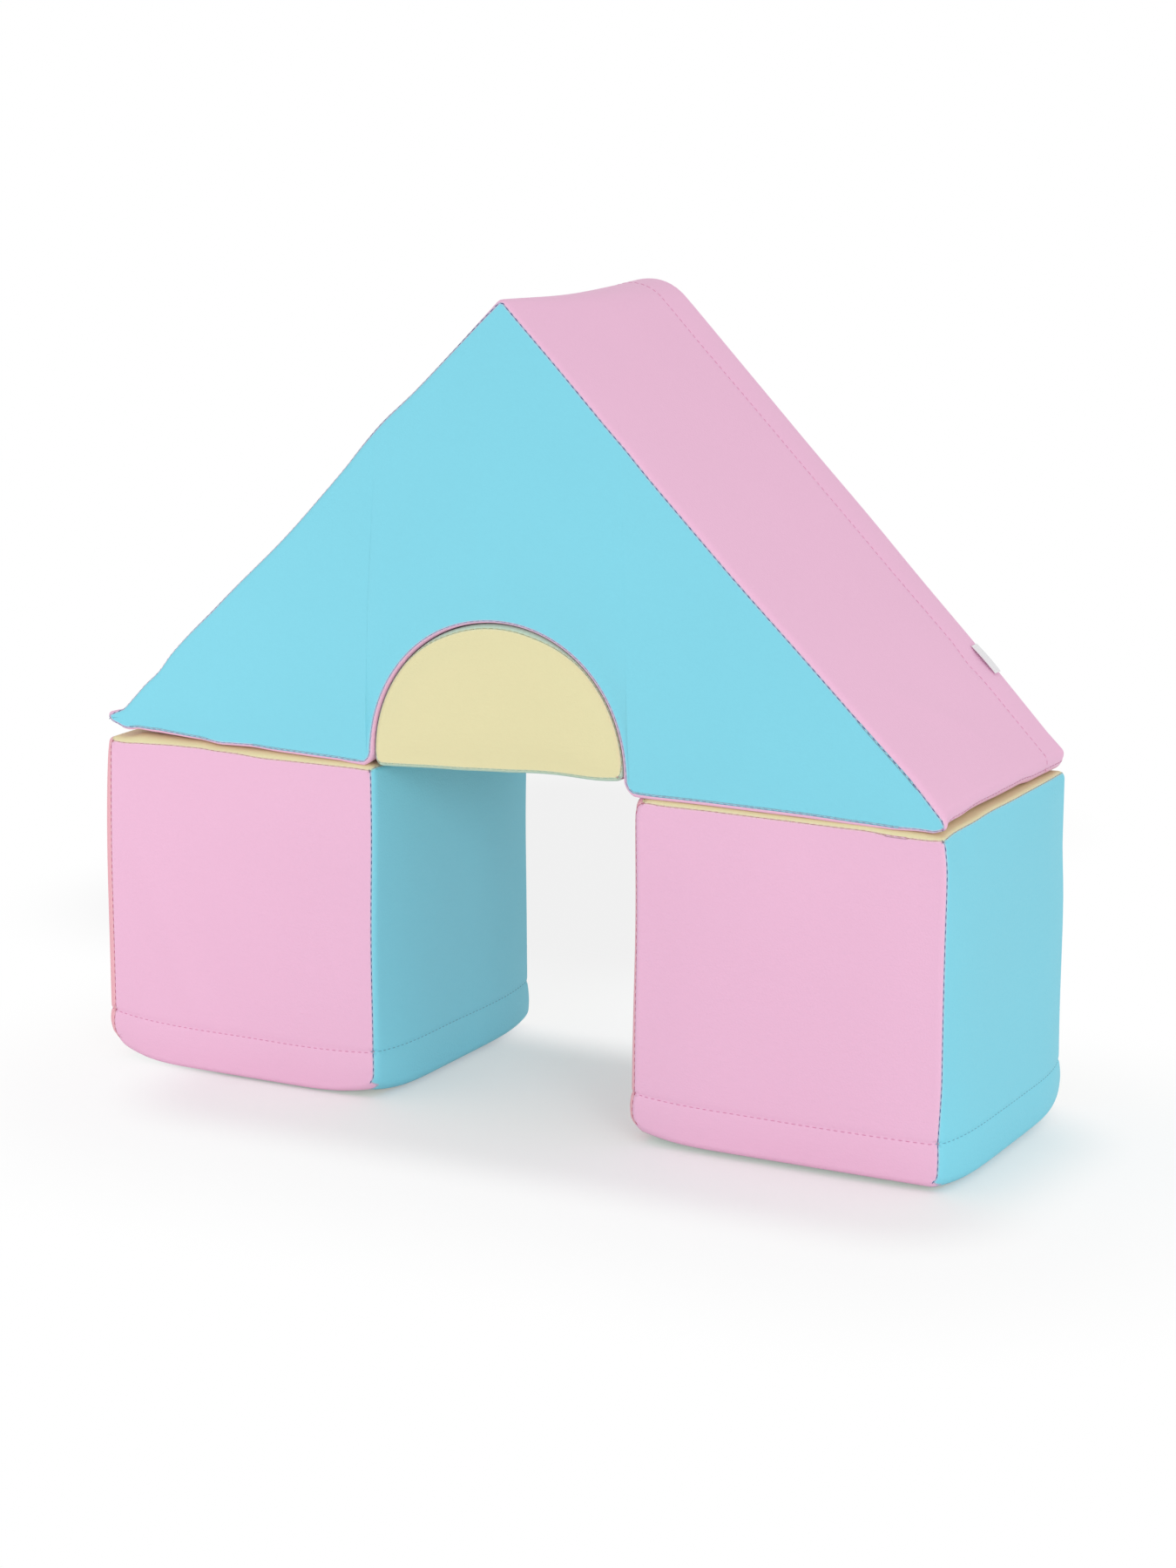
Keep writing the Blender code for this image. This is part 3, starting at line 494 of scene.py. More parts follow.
FOOT_DOWN = (
    (-440, -4), (-426, -3), (-417, 1), (-408, -0.5), (-402, -2.4), (-386, -3.2), (-376, -4.2), (-356, -4.2),
    (-326, -3), (-306, 0), (-286, 0.8), (-257, 0), (-219, 0.7), (-173, 1.4), (-160, 3), (-147, 4), (-136, 0),
    (124, 0), (136, 4.6), (300, 5), (385, 7.2), (406, 6), (418, 5.6), (426, 3.8), (440, 3),
)


def fullness(share, depth_share):
    """How far the cover stands out of a slope, more towards the ridge and the back."""
    spread = BACK_FULLNESS * (1.0 - (1.0 - share) ** 2) + RIDGE_FULLNESS * hump(1.0 - share, 0.18)
    return spread * depth_share**2


def slope_wave(share, left, depth_share):
    """How a slope waves: the left one up and down, while the right one is drawn in."""
    if left:
        wave = sum(height * MM * hump(share - middle, width) for middle, width, height in LEFT_WAVES)
    else:
        wave = -RIGHT_DRAW * np.sin(np.pi * share) ** 2
    return wave * (1.0 - depth_share) + fullness(share, depth_share)


def gable_top(x, ends, depth_share):
    """The slopes and the ridge over given x; the ends are where the slopes start at the two tips."""
    roll = RIDGE_ROLLS[0] + (RIDGE_ROLLS[1] - RIDGE_ROLLS[0]) * depth_share
    lifted = ROOF_RISE + fullness(1.0, depth_share) / math.cos(PITCH)
    half = roll * math.sin(PITCH)
    reach, foot = (np.where(x < 0, ends[0][i], ends[1][i]) for i in (0, 1))
    reach = np.abs(reach)
    share = np.clip((reach - np.abs(x)) / (reach - half), 0.0, 1.0)
    waves = np.where(x < 0, slope_wave(share, True, depth_share), slope_wave(share, False, depth_share))
    slope = foot + (reach - np.abs(x)) * math.tan(PITCH) + waves / math.cos(PITCH)
    centre = lifted - roll / math.cos(PITCH)
    on_ridge = np.abs(x) < half
    across = np.clip(x / roll, -1.0, 1.0)
    crest = centre + roll * np.sqrt(1.0 - across**2)
    z = np.where(on_ridge, crest, slope)
    dx = np.where(on_ridge, across, np.sign(x) * math.sin(PITCH))
    return np.stack((x, z, dx, np.sqrt(1.0 - dx**2)), axis=1)


def roof_outline(share):
    pitch = math.degrees(PITCH)
    reaches = [ROOF_HALF - roll / math.tan(PITCH / 2) for roll in TIP_ROLLS]
    left_tip = arc((-reaches[0], TIP_ROLLS[0]), TIP_ROLLS[0], 270, 90 + pitch, 24)
    right_tip = arc((reaches[1], TIP_ROLLS[1]), TIP_ROLLS[1], -90, 90 - pitch, 24)
    lip_reach = math.sqrt((ARCH_RADIUS + LIP_ROLL) ** 2 - (LIP_ROLL - ARCH_LEVEL) ** 2)
    lip_tilt = math.degrees(math.asin((LIP_ROLL - ARCH_LEVEL) / (ARCH_RADIUS + LIP_ROLL)))
    left_lip = arc((ARCH_OFFSET - lip_reach, LIP_ROLL), LIP_ROLL, -90, -lip_tilt, 6)
    right_lip = arc((ARCH_OFFSET + lip_reach, LIP_ROLL), LIP_ROLL, 180 + lip_tilt, 270, 6)
    even = ARCH_OFFSET + ARCH_RADIUS * np.cos(np.radians(np.linspace(180 - lip_tilt, lip_tilt, 77)))
    even = even[np.abs(even) > RIDGE_COLUMNS[-1] + 2 * MM]
    across = np.sort(np.concatenate((even, RIDGE_COLUMNS, -RIDGE_COLUMNS[1:])))
    angles = np.degrees(np.arccos(np.clip((across - ARCH_OFFSET) / ARCH_RADIUS, -1.0, 1.0)))
    centre = (ARCH_OFFSET, ARCH_LEVEL)
    arch = np.vstack([arc(centre, ARCH_RADIUS, angle, angle, 0, facing=-1.0) for angle in angles])
    left_foot = along(left_tip[0], left_lip[0], inner(56))
    right_foot = along(right_lip[-1], right_tip[0], inner(56))
    middle = np.vstack((left_foot, left_lip[:-1], arch, right_lip[1:], right_foot))
    ends = (left_tip[-1], right_tip[-1])
    top = gable_top(np.clip(middle[:, 0], ends[0][0], ends[1][0]), ends, share)
    return {
        "bottom": np.vstack((left_tip[:1], middle, right_tip[:1])),
        "top": np.vstack((left_tip[-1:], top, right_tip[-1:])),
        "left": left_tip,
        "right": right_tip,
    }


def roof_relief(side, share, depth_share):
    """The slopes have a slight crown, a full ridge and a hem at the back."""
    slope = np.where(share < 0.5, 2 * share, 2 - 2 * share)
    crown = SLOPE_CROWN * swell(slope) * swell(depth_share)
    ridge = RIDGE_CROWN * hump(share - 0.5, 0.06) * swell(depth_share)
    hem = hem_relief((1.0 - depth_share) * 300 * MM) * np.clip(1.2 * swell(slope), 0.0, 1.0)
    hem = hem * np.clip((1 - depth_share) * 60, 0, 1)
    return np.where(side == TOP, crown + ridge + hem, 0.0)


def roof_settle(points):
    """The left tip of the roof curls up, and the front edges of its feet rise and fall on the cubes."""
    x, y, z = points[..., 0], points[..., 1], points[..., 2]
    past = np.clip((CURL_LENGTH - ROOF_HALF - x) / CURL_LENGTH, 0.0, 2.0)
    down = np.interp(x / MM, *zip(*FOOT_DOWN)) * MM
    down *= hump(y + 150 * MM, np.where(down < 0, 30 * MM, 14 * MM)) * hump(z, 22 * MM)
    rise = TIP_CURL * past**2 - down
    return np.stack((x, y, z + rise), axis=-1)


# %% [markdown]
# ## The half-round block's outline
# It hangs in the arch with less than a millimetre to spare and is turned by three degrees, as a
# child pushes such a block in.

# %% Half-round shape
HALF_ROUND_TILT = 3.0


def half_round_outline(_share):
    radius, roll, drop = ARCH_RADIUS - 0.8 * MM, 8.0 * MM, 7.2 * MM
    tilt = math.radians(HALF_ROUND_TILT)
    across, down = np.array((math.cos(tilt), math.sin(tilt))), np.array((math.sin(tilt), -math.cos(tilt)))
    lower = drop - roll
    reach = math.sqrt((radius - roll) ** 2 - lower**2)
    start = math.degrees(math.atan2(down[1], down[0]))
    corners = {}
    for side, turn in (("left", -1), ("right", 1)):
        centre = across * reach * turn + down * lower
        end = math.degrees(math.atan2(centre[1], centre[0]))
        ends = [angle % 360 if turn < 0 else angle for angle in (start, end)]
        corners[side] = arc(centre, roll, *ends, 20)
    left, right = corners["left"], corners["right"]
    last = math.degrees(math.atan2(left[-1, 3], left[-1, 2])) % 360
    top = arc((0.0, 0.0), radius, last, math.degrees(math.atan2(right[-1, 3], right[-1, 2])), 64)
    shares = 0.5 - 0.5 * np.cos(np.pi * np.linspace(0.0, 1.0, 65)[1:-1])
    bottom = np.vstack((left[:1], along(left[0], right[0], shares), right[:1]))
    return {"bottom": bottom, "top": top, "left": left, "right": right}


def half_round_relief(side, share, depth_share):
    return np.zeros(np.broadcast(side, share, depth_share).shape)


# %% [markdown]
# ## From an outline to a skin
# A cover's band runs from the front seam to the back seam round the block, and an end panel closes
# it on each side. The skin is worked out once for the whole block, so that neighbouring panels share
# the same seam line. A seam is never dead straight: a tight end panel is drawn round the edge, and a
# slack one stops short of it. So the place of the front seam on the rounded edge is an angle that
# changes along the edge. Folds and dents are moves of the skin beside a line, written one by one,
# and slow, weak ripples move all blocks together, because no sewn cover is perfectly even.

# %% Ripples, folds and seam places
ROLL_ROWS, RING_ROWS = 5, 4
RIPPLE_COUNT, RIPPLE_HEIGHT = 26, 0.40 * MM
RIPPLES = np.random.default_rng(11)
RIPPLE_WAYS = RIPPLES.normal(size=(RIPPLE_COUNT, 3))
RIPPLE_WAYS /= np.linalg.norm(RIPPLE_WAYS, axis=1)[:, None]
RIPPLE_LENGTHS = RIPPLES.uniform(0.09, 0.26, RIPPLE_COUNT)
RIPPLE_PHASES = RIPPLES.uniform(0.0, 2 * np.pi, RIPPLE_COUNT)
RIPPLE_MOVES = RIPPLES.normal(size=(RIPPLE_COUNT, 3)) * RIPPLE_LENGTHS[:, None]
EASE_REACH, CLOSED_ROW = 9 * MM, 0.05 * MM


def ripple(points):
    """A weak, smooth displacement that depends on the place alone: less in depth, none at the floor."""
    phase = points @ (RIPPLE_WAYS / RIPPLE_LENGTHS[:, None]).T * 2 * np.pi + RIPPLE_PHASES
    move = np.cos(phase) @ RIPPLE_MOVES / np.sqrt((RIPPLE_MOVES**2).sum() / 6)
    move[..., 1] *= 0.6
    return points + move * RIPPLE_HEIGHT * np.clip(points[..., 2:] / (30 * MM), 0.0, 1.0)


def fold(points, start, end, width, move):
    """Moves the skin beside the line between two spots, most on the line, all given in millimetres."""
    start, end = np.asarray(start) * MM, np.asarray(end) * MM
    way = end - start
    share = np.clip(((points - start) @ way) / max(way @ way, 1e-9), 0.0, 1.0)
    missed = points - start - share[..., None] * way
    weight = np.exp(-(missed**2).sum(axis=-1) / (width * MM) ** 2)
    return points + weight[..., None] * np.asarray(move) * MM


def ring(outline):
    """The whole outline once round: underside, right, top, left, with the share of each stretch."""
    points, sides, shares = [], [], []
    stretches = (("bottom", False), ("right", False), ("top", True), ("left", True))
    for code, (side, turned) in enumerate(stretches):
        stretch = outline[side]
        length = row_lengths(stretch[:, :2])
        share = length / length[-1]
        if turned:
            stretch, share = stretch[::-1], share[::-1]
        points.append(stretch[:-1])
        shares.append(share[:-1])
        sides.append(np.full(len(stretch) - 1, code))
    return np.vstack(points), np.concatenate(sides), np.concatenate(shares)


def eased(stretches, usual, points, side, run):
    """A value that changes along the front edge: given for some stretches, smooth all the way round."""
    given = np.full(len(side), usual)
    for code, stops in stretches.items():
        shares, values = zip(*stops)
        given[side == code] = np.interp(run[side == code], shares, values)
    steps = np.linalg.norm(np.roll(points[:, :2], -1, axis=0) - points[:, :2], axis=1)
    place = np.cumsum(steps) - steps
    away = np.abs(place[:, None] - place[None])
    away = np.minimum(away, steps.sum() - away)
    weight = hump(away, EASE_REACH) * (steps + np.roll(steps, 1) + 0.01 * MM)[None]
    return (weight @ given) / weight.sum(axis=1)


# %% Skin of a block
class Skin:
    """The surface of a block: the band as rows by places, and the two ends as grids."""

    def __init__(self, block, below=0.0):
        self.block, self.below, self.half = block, below, block["depth"] / 2
        shape = block["outline"](0.0)
        self.columns, self.steps = len(shape["bottom"]) - 1, len(shape["left"]) - 1
        self.count = 2 * (self.columns + self.steps)
        self.first, self.side, run = ring(shape)
        seam = eased(block["seams"], SEAM_ANGLE, self.first, self.side, run)
        edge = eased(block["edges"], EDGE_ROLL, self.first, self.side, run)
        steps = np.linspace(0.0, 1.0, ROLL_ROWS + 1)[:, None]
        front_y, front_inset = self.roll(seam + (90.0 - seam) * steps, block["squareness"], edge)
        plain_y, _inset = self.roll(SEAM_ANGLE + (90.0 - SEAM_ANGLE) * steps, block["squareness"])
        back = np.broadcast_to(90.0 + (SEAM_ANGLE - 90.0) * steps, front_y.shape)
        back_y, back_inset = self.roll(back, 1.0)
        middle = np.repeat(np.asarray(block["rows"])[:, None], self.count, axis=1)
        self.y = np.vstack((front_y, middle, -back_y))
        self.inset = np.vstack((front_inset, np.full(middle.shape, below), back_inset))
        levels = np.concatenate((plain_y[:, 0], middle[:, 0], -back_y[:, 0]))
        rings = [ring(block["outline"](share)) for share in (levels - levels[0]) / (levels[-1] - levels[0])]
        outline = np.stack([points for points, _sides, _shares in rings])
        self.run = np.stack([shares for _points, _sides, shares in rings])
        share = (self.y - self.y[0]) / (self.y[-1] - self.y[0])
        relief = block["relief"](self.side[None], self.run, share)
        self.flat = outline[..., :2] + outline[..., 2:] * (relief - self.inset)[..., None]
        self.band_points = self.finish(self.flat, self.y)

        turns = np.linspace(0.0, 1.0, RING_ROWS + 1)[:, None]
        ring_y, ring_inset = self.roll(seam * turns, block["squareness"], edge)
        relief = block["relief"](self.side[None], run[None], np.zeros((1, 1)))
        self.rim = self.first[None, :, :2] + self.first[None, :, 2:] * (relief - ring_inset)[..., None]
        self.ring_points = self.finish(self.rim, ring_y)

    def roll(self, degrees, squareness, edge=EDGE_ROLL):
        """Place along y, and inset from the outline, of a rounded edge at given angles from the face."""
        turned, radius = np.radians(degrees), np.maximum(edge - self.below, 0.5 * MM)
        rise, reach = np.clip(np.cos(turned), 0.0, 1.0), np.clip(np.sin(turned), 0.0, 1.0)
        deep = self.below + radius
        return deep - radius * rise**squareness - self.half, deep - radius * reach**squareness

    def finish(self, flat, y):
        points = np.stack((flat[..., 0], np.broadcast_to(y, flat.shape[:-1]), flat[..., 1]), axis=-1)
        points = ripple(self.block["settle"](points) + np.asarray(self.block["place"]))
        for start, end, width, move in self.block["folds"]:
            points = fold(points, start, end, width, move)
        return points

    def place(self, corner):
        """Where a corner of the end lies on the ring."""
        names = ("lower left", "lower right", "upper right", "upper left")
        places = (0, self.columns, self.columns + self.steps, 2 * self.columns + self.steps)
        return places[names.index(corner)]

    def band(self, first, last, low=0, high=None):
        high = len(self.y) - 1 if high is None else high
        return self.band_points[low:high + 1][:, np.arange(first, last + 1) % self.count]

    def rolled_edge(self):
        """The part of the rounded front edge that belongs to the front panel, all the way round."""
        return self.ring_points[:, np.arange(self.count + 1) % self.count]

    def end(self, front):
        """An end panel, spanned between the four stretches of the outline."""
        rim, row = (self.rim[0], 0) if front else (self.flat[-1], -1)
        columns, steps = self.columns, self.steps
        low, high = rim[:columns + 1], rim[columns + steps:2 * columns + steps + 1][::-1]
        right, left = rim[columns:columns + steps + 1], rim[-np.arange(steps + 1) % self.count]
        across = np.append(self.run[row, :columns], 1.0)[None, :, None]
        up = np.append(self.run[row, columns:columns + steps], 1.0)[:, None, None]
        flat = low[None] * (1 - up) + high[None] * up + left[:, None] * (1 - across) + right[:, None] * across
        flat -= (low[0] * (1 - across) + low[-1] * across) * (1 - up)
        flat -= (high[0] * (1 - across) + high[-1] * across) * up
        # Where the seam runs in as far as the corner's radius, the corner closes up and the topmost
        # rows fall together or cross. They are laid on the seam row, so that no dark sliver shows.
        for closed in np.flatnonzero(left[:-1, 1] > left[-1, 1] - CLOSED_ROW):
            flat[closed, 1:-1] = flat[-1, 1:-1]
        spread = flat[..., 0] - flat[..., 0].min()
        rise = (flat[..., 1] - low[:, 1]) / np.maximum(high[:, 1] - low[:, 1], 1 * MM)
        crown = self.block["crown"] * (swell(spread / spread.max()) * swell(rise)) ** 1.5
        return self.finish(flat, self.below - self.half - crown if front else self.y[-1, 0])

    def face_row(self, level):
        """A level line over the front panel from its left seam to its right seam."""
        left, right = self.ring_points[:, self.count - level], self.ring_points[:, self.columns + level]
        return np.vstack((left[::-1], self.end(True)[level][1:-1], right))


# %% [markdown]
# ## From a skin to a sewn panel
# On the real cover the edge of each panel is turned in at the seam, and the two turned edges lie
# back to back inside. So a panel is a sheet whose rim rolls over and runs a few millimetres into the
# block. That leaves a fine valley at the seam with no need to paint one. Solidify gives the sheet
# its thickness.

# %% Panel meshes
# The thickness of a sheet, how close two points count as one, and half the height of a zip's slot.
SHEET, MERGED, SLOT_HALF = 0.9 * MM, 0.03 * MM, 4 * MM
# How close a point has to be to a side cut or a level cut of the slot to be used as it is.
SIDE_SNAP, ROW_SNAP = 0.02 * MM, 0.5 * MM
# The rim is drawn back, then rolls over in steps, each so far back and so deep, in millimetres.
LIP_BACK, SHALLOW_LIP = 0.38, 0.9
LIP = ((0.20, 0.05), (0.10, 0.18), (0.05, 0.55), (0.05, 3.20))


def grid_faces(mesh, points, flipped):
    rows, columns = points.shape[:2]
    corners = [[mesh.verts.new(points[i, j]) for j in range(columns)] for i in range(rows)]
    for i in range(rows - 1):
        for j in range(columns - 1):
            face = [corners[i][j], corners[i + 1][j], corners[i + 1][j + 1], corners[i][j + 1]]
            mesh.faces.new(face[::-1] if flipped else face)


def grids_mesh(grids):
    mesh = bmesh.new()
    for points, flipped in grids:
        grid_faces(mesh, points, flipped)
    bmesh.ops.remove_doubles(mesh, verts=mesh.verts, dist=MERGED)
    mesh.normal_update()
    return mesh


def turn_in(mesh, shallow):
    """Rolls the open rim of a sheet over and into the block; returns the rim's own points."""
    rim = [edge for edge in mesh.edges if edge.is_boundary]
    facts = {}
    for edge in rim:
        face = edge.link_faces[0]
        outward = face.normal.cross(edge.verts[1].co - edge.verts[0].co).normalized()
        if outward.dot(face.calc_center_median() - edge.verts[0].co) > 0:
            outward.negate()
        for vertex in edge.verts:
            facts.setdefault(vertex, []).append((outward, face.normal.copy()))
    was, previous = {}, {}
    for vertex, found in facts.items():
        away = sum((outward for outward, _normal in found), Vector()).normalized()
        up = sum((normal for _outward, normal in found), Vector()).normalized()
        was[vertex] = (vertex.co.copy(), away, up)
        vertex.co -= away * LIP_BACK * MM
        previous[vertex] = vertex
    for back, down in LIP:
        fresh = {}
        for vertex, (spot, away, up) in was.items():
            depth = min(down, SHALLOW_LIP) if shallow(spot) else down
            fresh[vertex] = mesh.verts.new(spot - away * back * MM - up * depth * MM)
        for edge in rim:
            loop = edge.link_loops[0]
            first, second = loop.vert, loop.link_loop_next.vert
            mesh.faces.new((previous[second], previous[first], fresh[first], fresh[second]))
        previous = fresh
    return [spot for spot, _away, _up in was.values()]


def in_slot(block):
    """Says whether a point lies at the rim of a block's zip slot."""
    x, _y, z = block["place"]
    half, level = block["zip"][0] / 2, z + block["zip"][1]

    def test(spot):
        beside, above = abs(spot.x - x) - half, abs(spot.z - level) - SLOT_HALF
        return spot.y > 140 * MM and max(beside, above) < 2 * MM

    return test


def cut_slot(mesh, block):
    """Opens the zip's slot in a back panel: the faces there are split along its edges and taken out."""
    x, _y, z = block["place"]
    half, level = block["zip"][0] / 2, z + block["zip"][1]

    def near(face, across, up):
        spot = face.calc_center_median()
        return abs(spot.x - x) < half + across and abs(spot.z - level) < up and face.normal.y > 0.9

    # Mesh rows that run almost along a level cut are snapped to it, as slivers there would show dark.
    cuts = [((x + way * half, 0, 0), (1, 0, 0), SIDE_SNAP) for way in (-1, 1)]
    cuts += [((0, 0, level + way * SLOT_HALF), (0, 0, 1), ROW_SNAP) for way in (-1, 1)]
    for spot, facing, snap in cuts:
        faces = [face for face in mesh.faces if near(face, 20 * MM, 26 * MM)]
        parts = set(faces) | {e for f in faces for e in f.edges} | {v for f in faces for v in f.verts}
        bmesh.ops.bisect_plane(mesh, geom=list(parts), plane_co=spot, plane_no=facing, dist=snap)
    gone = [face for face in mesh.faces if near(face, 0.0, SLOT_HALF)]
    bmesh.ops.delete(mesh, geom=gone, context="FACES")


def mark_stitching(data, rim, rows):
    """Writes how far each point is from a seam and from a row of stitches, and where along the row."""
    seams = KDTree(len(rim))
    for index, spot in enumerate(rim):
        seams.insert(spot, index)
    seams.balance()
    spots = [(Vector(spot), run) for row in rows for spot, run in zip(row, row_lengths(row))]
    stitched = KDTree(max(len(spots), 1))
    for index, (spot, _run) in enumerate(spots):
        stitched.insert(spot, index)
    stitched.balance()
    values = {"seam_distance": [], "stitch_distance": [], "stitch_run": []}
    for vertex in data.vertices:
        _spot, index, distance = stitched.find(vertex.co)
        values["seam_distance"].append(seams.find(vertex.co)[2])
        values["stitch_distance"].append(distance)
        values["stitch_run"].append(spots[index][1])
    for name, found in values.items():
        data.attributes.new(name, "FLOAT", "POINT").data.foreach_set("value", found)


def evaluated_mesh(holder, name):
    """The object's mesh with its modifiers applied."""
    graph = bpy.context.evaluated_depsgraph_get()
    graph.update()
    data = bpy.data.meshes.new_from_object(
        holder.evaluated_get(graph), preserve_all_data_layers=True, depsgraph=graph
    )
    data.name = name
    return data


def add_piece(name, data, body):
    piece = new_object(name, data)
    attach(piece, body)
    return piece


def sewn_panel(name, grids, material, block, slot, rows):
    """A panel's finished mesh: opened for the zip, turned in, marked and given its thickness."""
    mesh = grids_mesh(grids)
    if slot:
        cut_slot(mesh, block)
        mesh.normal_update()
    rim = turn_in(mesh, in_slot(block))
    data = mesh_data(name, mesh, material)
    mark_stitching(data, rim, rows)
    holder = new_object(name + " sheet", data)
    wall = holder.modifiers.new("thickness", "SOLIDIFY")
    wall.thickness = SHEET
    wall.offset = -1.0
    wall.use_rim = True
    finished = evaluated_mesh(holder, name)
    bpy.data.objects.remove(holder)
    bpy.data.meshes.remove(data)
    finished.shade_smooth()
    return finished


# %% [markdown]
# ## Threads
# A seam's thread shows as a row of short stitches in the valley, and a topstitch lies on the hem.
# Placing thousands of them by hand would be slow, so Geometry Nodes does it: a line is divided at
# the stitch pitch, a small grain is set on each point along the line, and the result becomes a plain
# mesh, one for each block and thread colour.


# %% Geometry Nodes tree for rows of small grains
def input_socket(tree, name, kind, value=None):
    made = tree.interface.new_socket(name, in_out="INPUT", socket_type=kind)
    if value is not None:
        made.default_value = value


def grain_tree():
    """Sets an egg-shaped grain of a given size on each step along a line, turned to the line."""
    tree = bpy.data.node_groups.new("grains along a line", "GeometryNodeTree")
    input_socket(tree, "Lines", "NodeSocketGeometry")
    input_socket(tree, "Pitch", "NodeSocketFloat", STITCH_PITCH)
    input_socket(tree, "Size", "NodeSocketVector", (STITCH_LENGTH, 0.8 * MM, 0.8 * MM))
    input_socket(tree, "Material", "NodeSocketMaterial")
    tree.interface.new_socket("Grains", in_out="OUTPUT", socket_type="NodeSocketGeometry")
    given = add_node(tree, "NodeGroupInput").outputs
    lines = add_node(tree, "GeometryNodeMeshToCurve", {"Mesh": given["Lines"]}).outputs[0]
    spacing = {"Curve": lines, "Length": given["Pitch"]}
    spaced = add_node(tree, "GeometryNodeResampleCurve", spacing, mode="LENGTH")
    grain = add_node(tree, "GeometryNodeMeshUVSphere", {"Segments": 6, "Rings": 4, "Radius": 0.5})
    tangent = add_node(tree, "GeometryNodeInputTangent").outputs[0]
    way = add_node(tree, "FunctionNodeAlignRotationToVector", {"Vector": tangent}, axis="X").outputs[0]
    limits = {0: (0.9, 0.9, 0.9), 1: (1.06, 1.08, 1.08), "Seed": 5}
    uneven = add_node(tree, "FunctionNodeRandomValue", limits, data_type="FLOAT_VECTOR").outputs[0]
    sizes = {0: given["Size"], 1: uneven}
    size = add_node(tree, "ShaderNodeVectorMath", sizes, operation="MULTIPLY").outputs[0]
    levels = {"Points": spaced.outputs[0], "Instance": grain.outputs[0], "Rotation": way, "Scale": size}
    placed = add_node(tree, "GeometryNodeInstanceOnPoints", levels).outputs[0]
    real = add_node(tree, "GeometryNodeRealizeInstances", {"Geometry": placed}).outputs[0]
    smooth = add_node(tree, "GeometryNodeSetShadeSmooth", {"Geometry": real}).outputs[0]
    looks = {"Geometry": smooth, "Material": given["Material"]}
    made = add_node(tree, "GeometryNodeSetMaterial", looks).outputs[0]
    add_node(tree, "NodeGroupOutput", {0: made})
    return tree


def line_mesh(name, lines):
    """Rows of points as chains of edges."""
    points, edges = [], []
    for line in lines:
        first = len(points)
        points += [tuple(spot) for spot in line]
        edges += [(first + step, first + step + 1) for step in range(len(line) - 1)]
    data = bpy.data.meshes.new(name)
    data.from_pydata(points, edges, [])
    return data


def grown(name, lines, values, body):
    """Runs the Geometry Nodes tree on rows of points and keeps the result as a plain piece."""
    holder = new_object(name + " source", line_mesh(name + " lines", lines))
    modifier = holder.modifiers.new("nodes", "NODES")
    modifier.node_group = GRAINS
    for item in GRAINS.interface.items_tree:
        if item.in_out == "INPUT" and item.name in values:
            modifier[item.identifier] = values[item.name]
    finished = evaluated_mesh(holder, name)
    bpy.data.objects.remove(holder)
    add_piece(name, finished, body)
    print(name, len(finished.polygons), "faces")


def thread(name, colour):
    """Spun polyester: slightly fuzzy, so rough, with a fine twist across the stitch."""
    twist = {"inputs": {"Distortion": 2.0}, "bands_direction": "DIAGONAL"}
    return patterned(name, "Wave", 420.0, (colour,), (0.7,), (0.4, 0.1), **twist)


GRAINS = grain_tree()
THREAD_COLOURS = {
    "navy": "#46588e", "raspberry": "#c0567e", "rose": "#d98cb2", "teal": "#6aa6bc", "olive": "#b0b38c",
    "mauve": "#8f82b4", "brick": "#bb7a80", "sage": "#a3c7b4",
}
THREADS = {key: thread(key + " polyester thread", colour) for key, colour in THREAD_COLOURS.items()}

# %% [markdown]
# ## The zips
# Each cover closes with a coil zip that lies in a slot in the flat back. Its tape is woven, and its
# coil is a spiral of nylon that reads as two rows of small grains. Geometry Nodes lays the grains.
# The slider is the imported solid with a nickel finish.

# %% Zip tape, coil and slider
# Polyester tape is matt and shows the fine diagonal ridges of its weave. Moulded nylon is smooth and
# off-white. Nickel on zinc is a warm grey metal, and tumbling leaves fine marks in its gloss.
TAPE = patterned(
    "woven zip tape", "Wave", 300.0, ("#dfe0dc", "#efefec"), (0.85,), (0.5, 0.1), {"Distortion": 0.5},
    bands_direction="DIAGONAL",
)
NYLON = patterned("moulded nylon coil", "Noise", 60.0, ("#e4e5e1", "#f2f2ef"), (0.35,))
NICKEL = patterned(
    "nickel plated zinc", "Noise", 900.0, ("#cfcdc8",), (0.22, 0.38), None, {"Detail": 4.0}, metallic=1.0
)
TAPE_THICK, COIL_PITCH, COIL_ROWS, COIL_DEEP = 0.6 * MM, 1.3 * MM, 1.15 * MM, 0.6 * MM
COIL_GRAIN = (1.0 * MM, 1.2 * MM, 2.5 * MM)


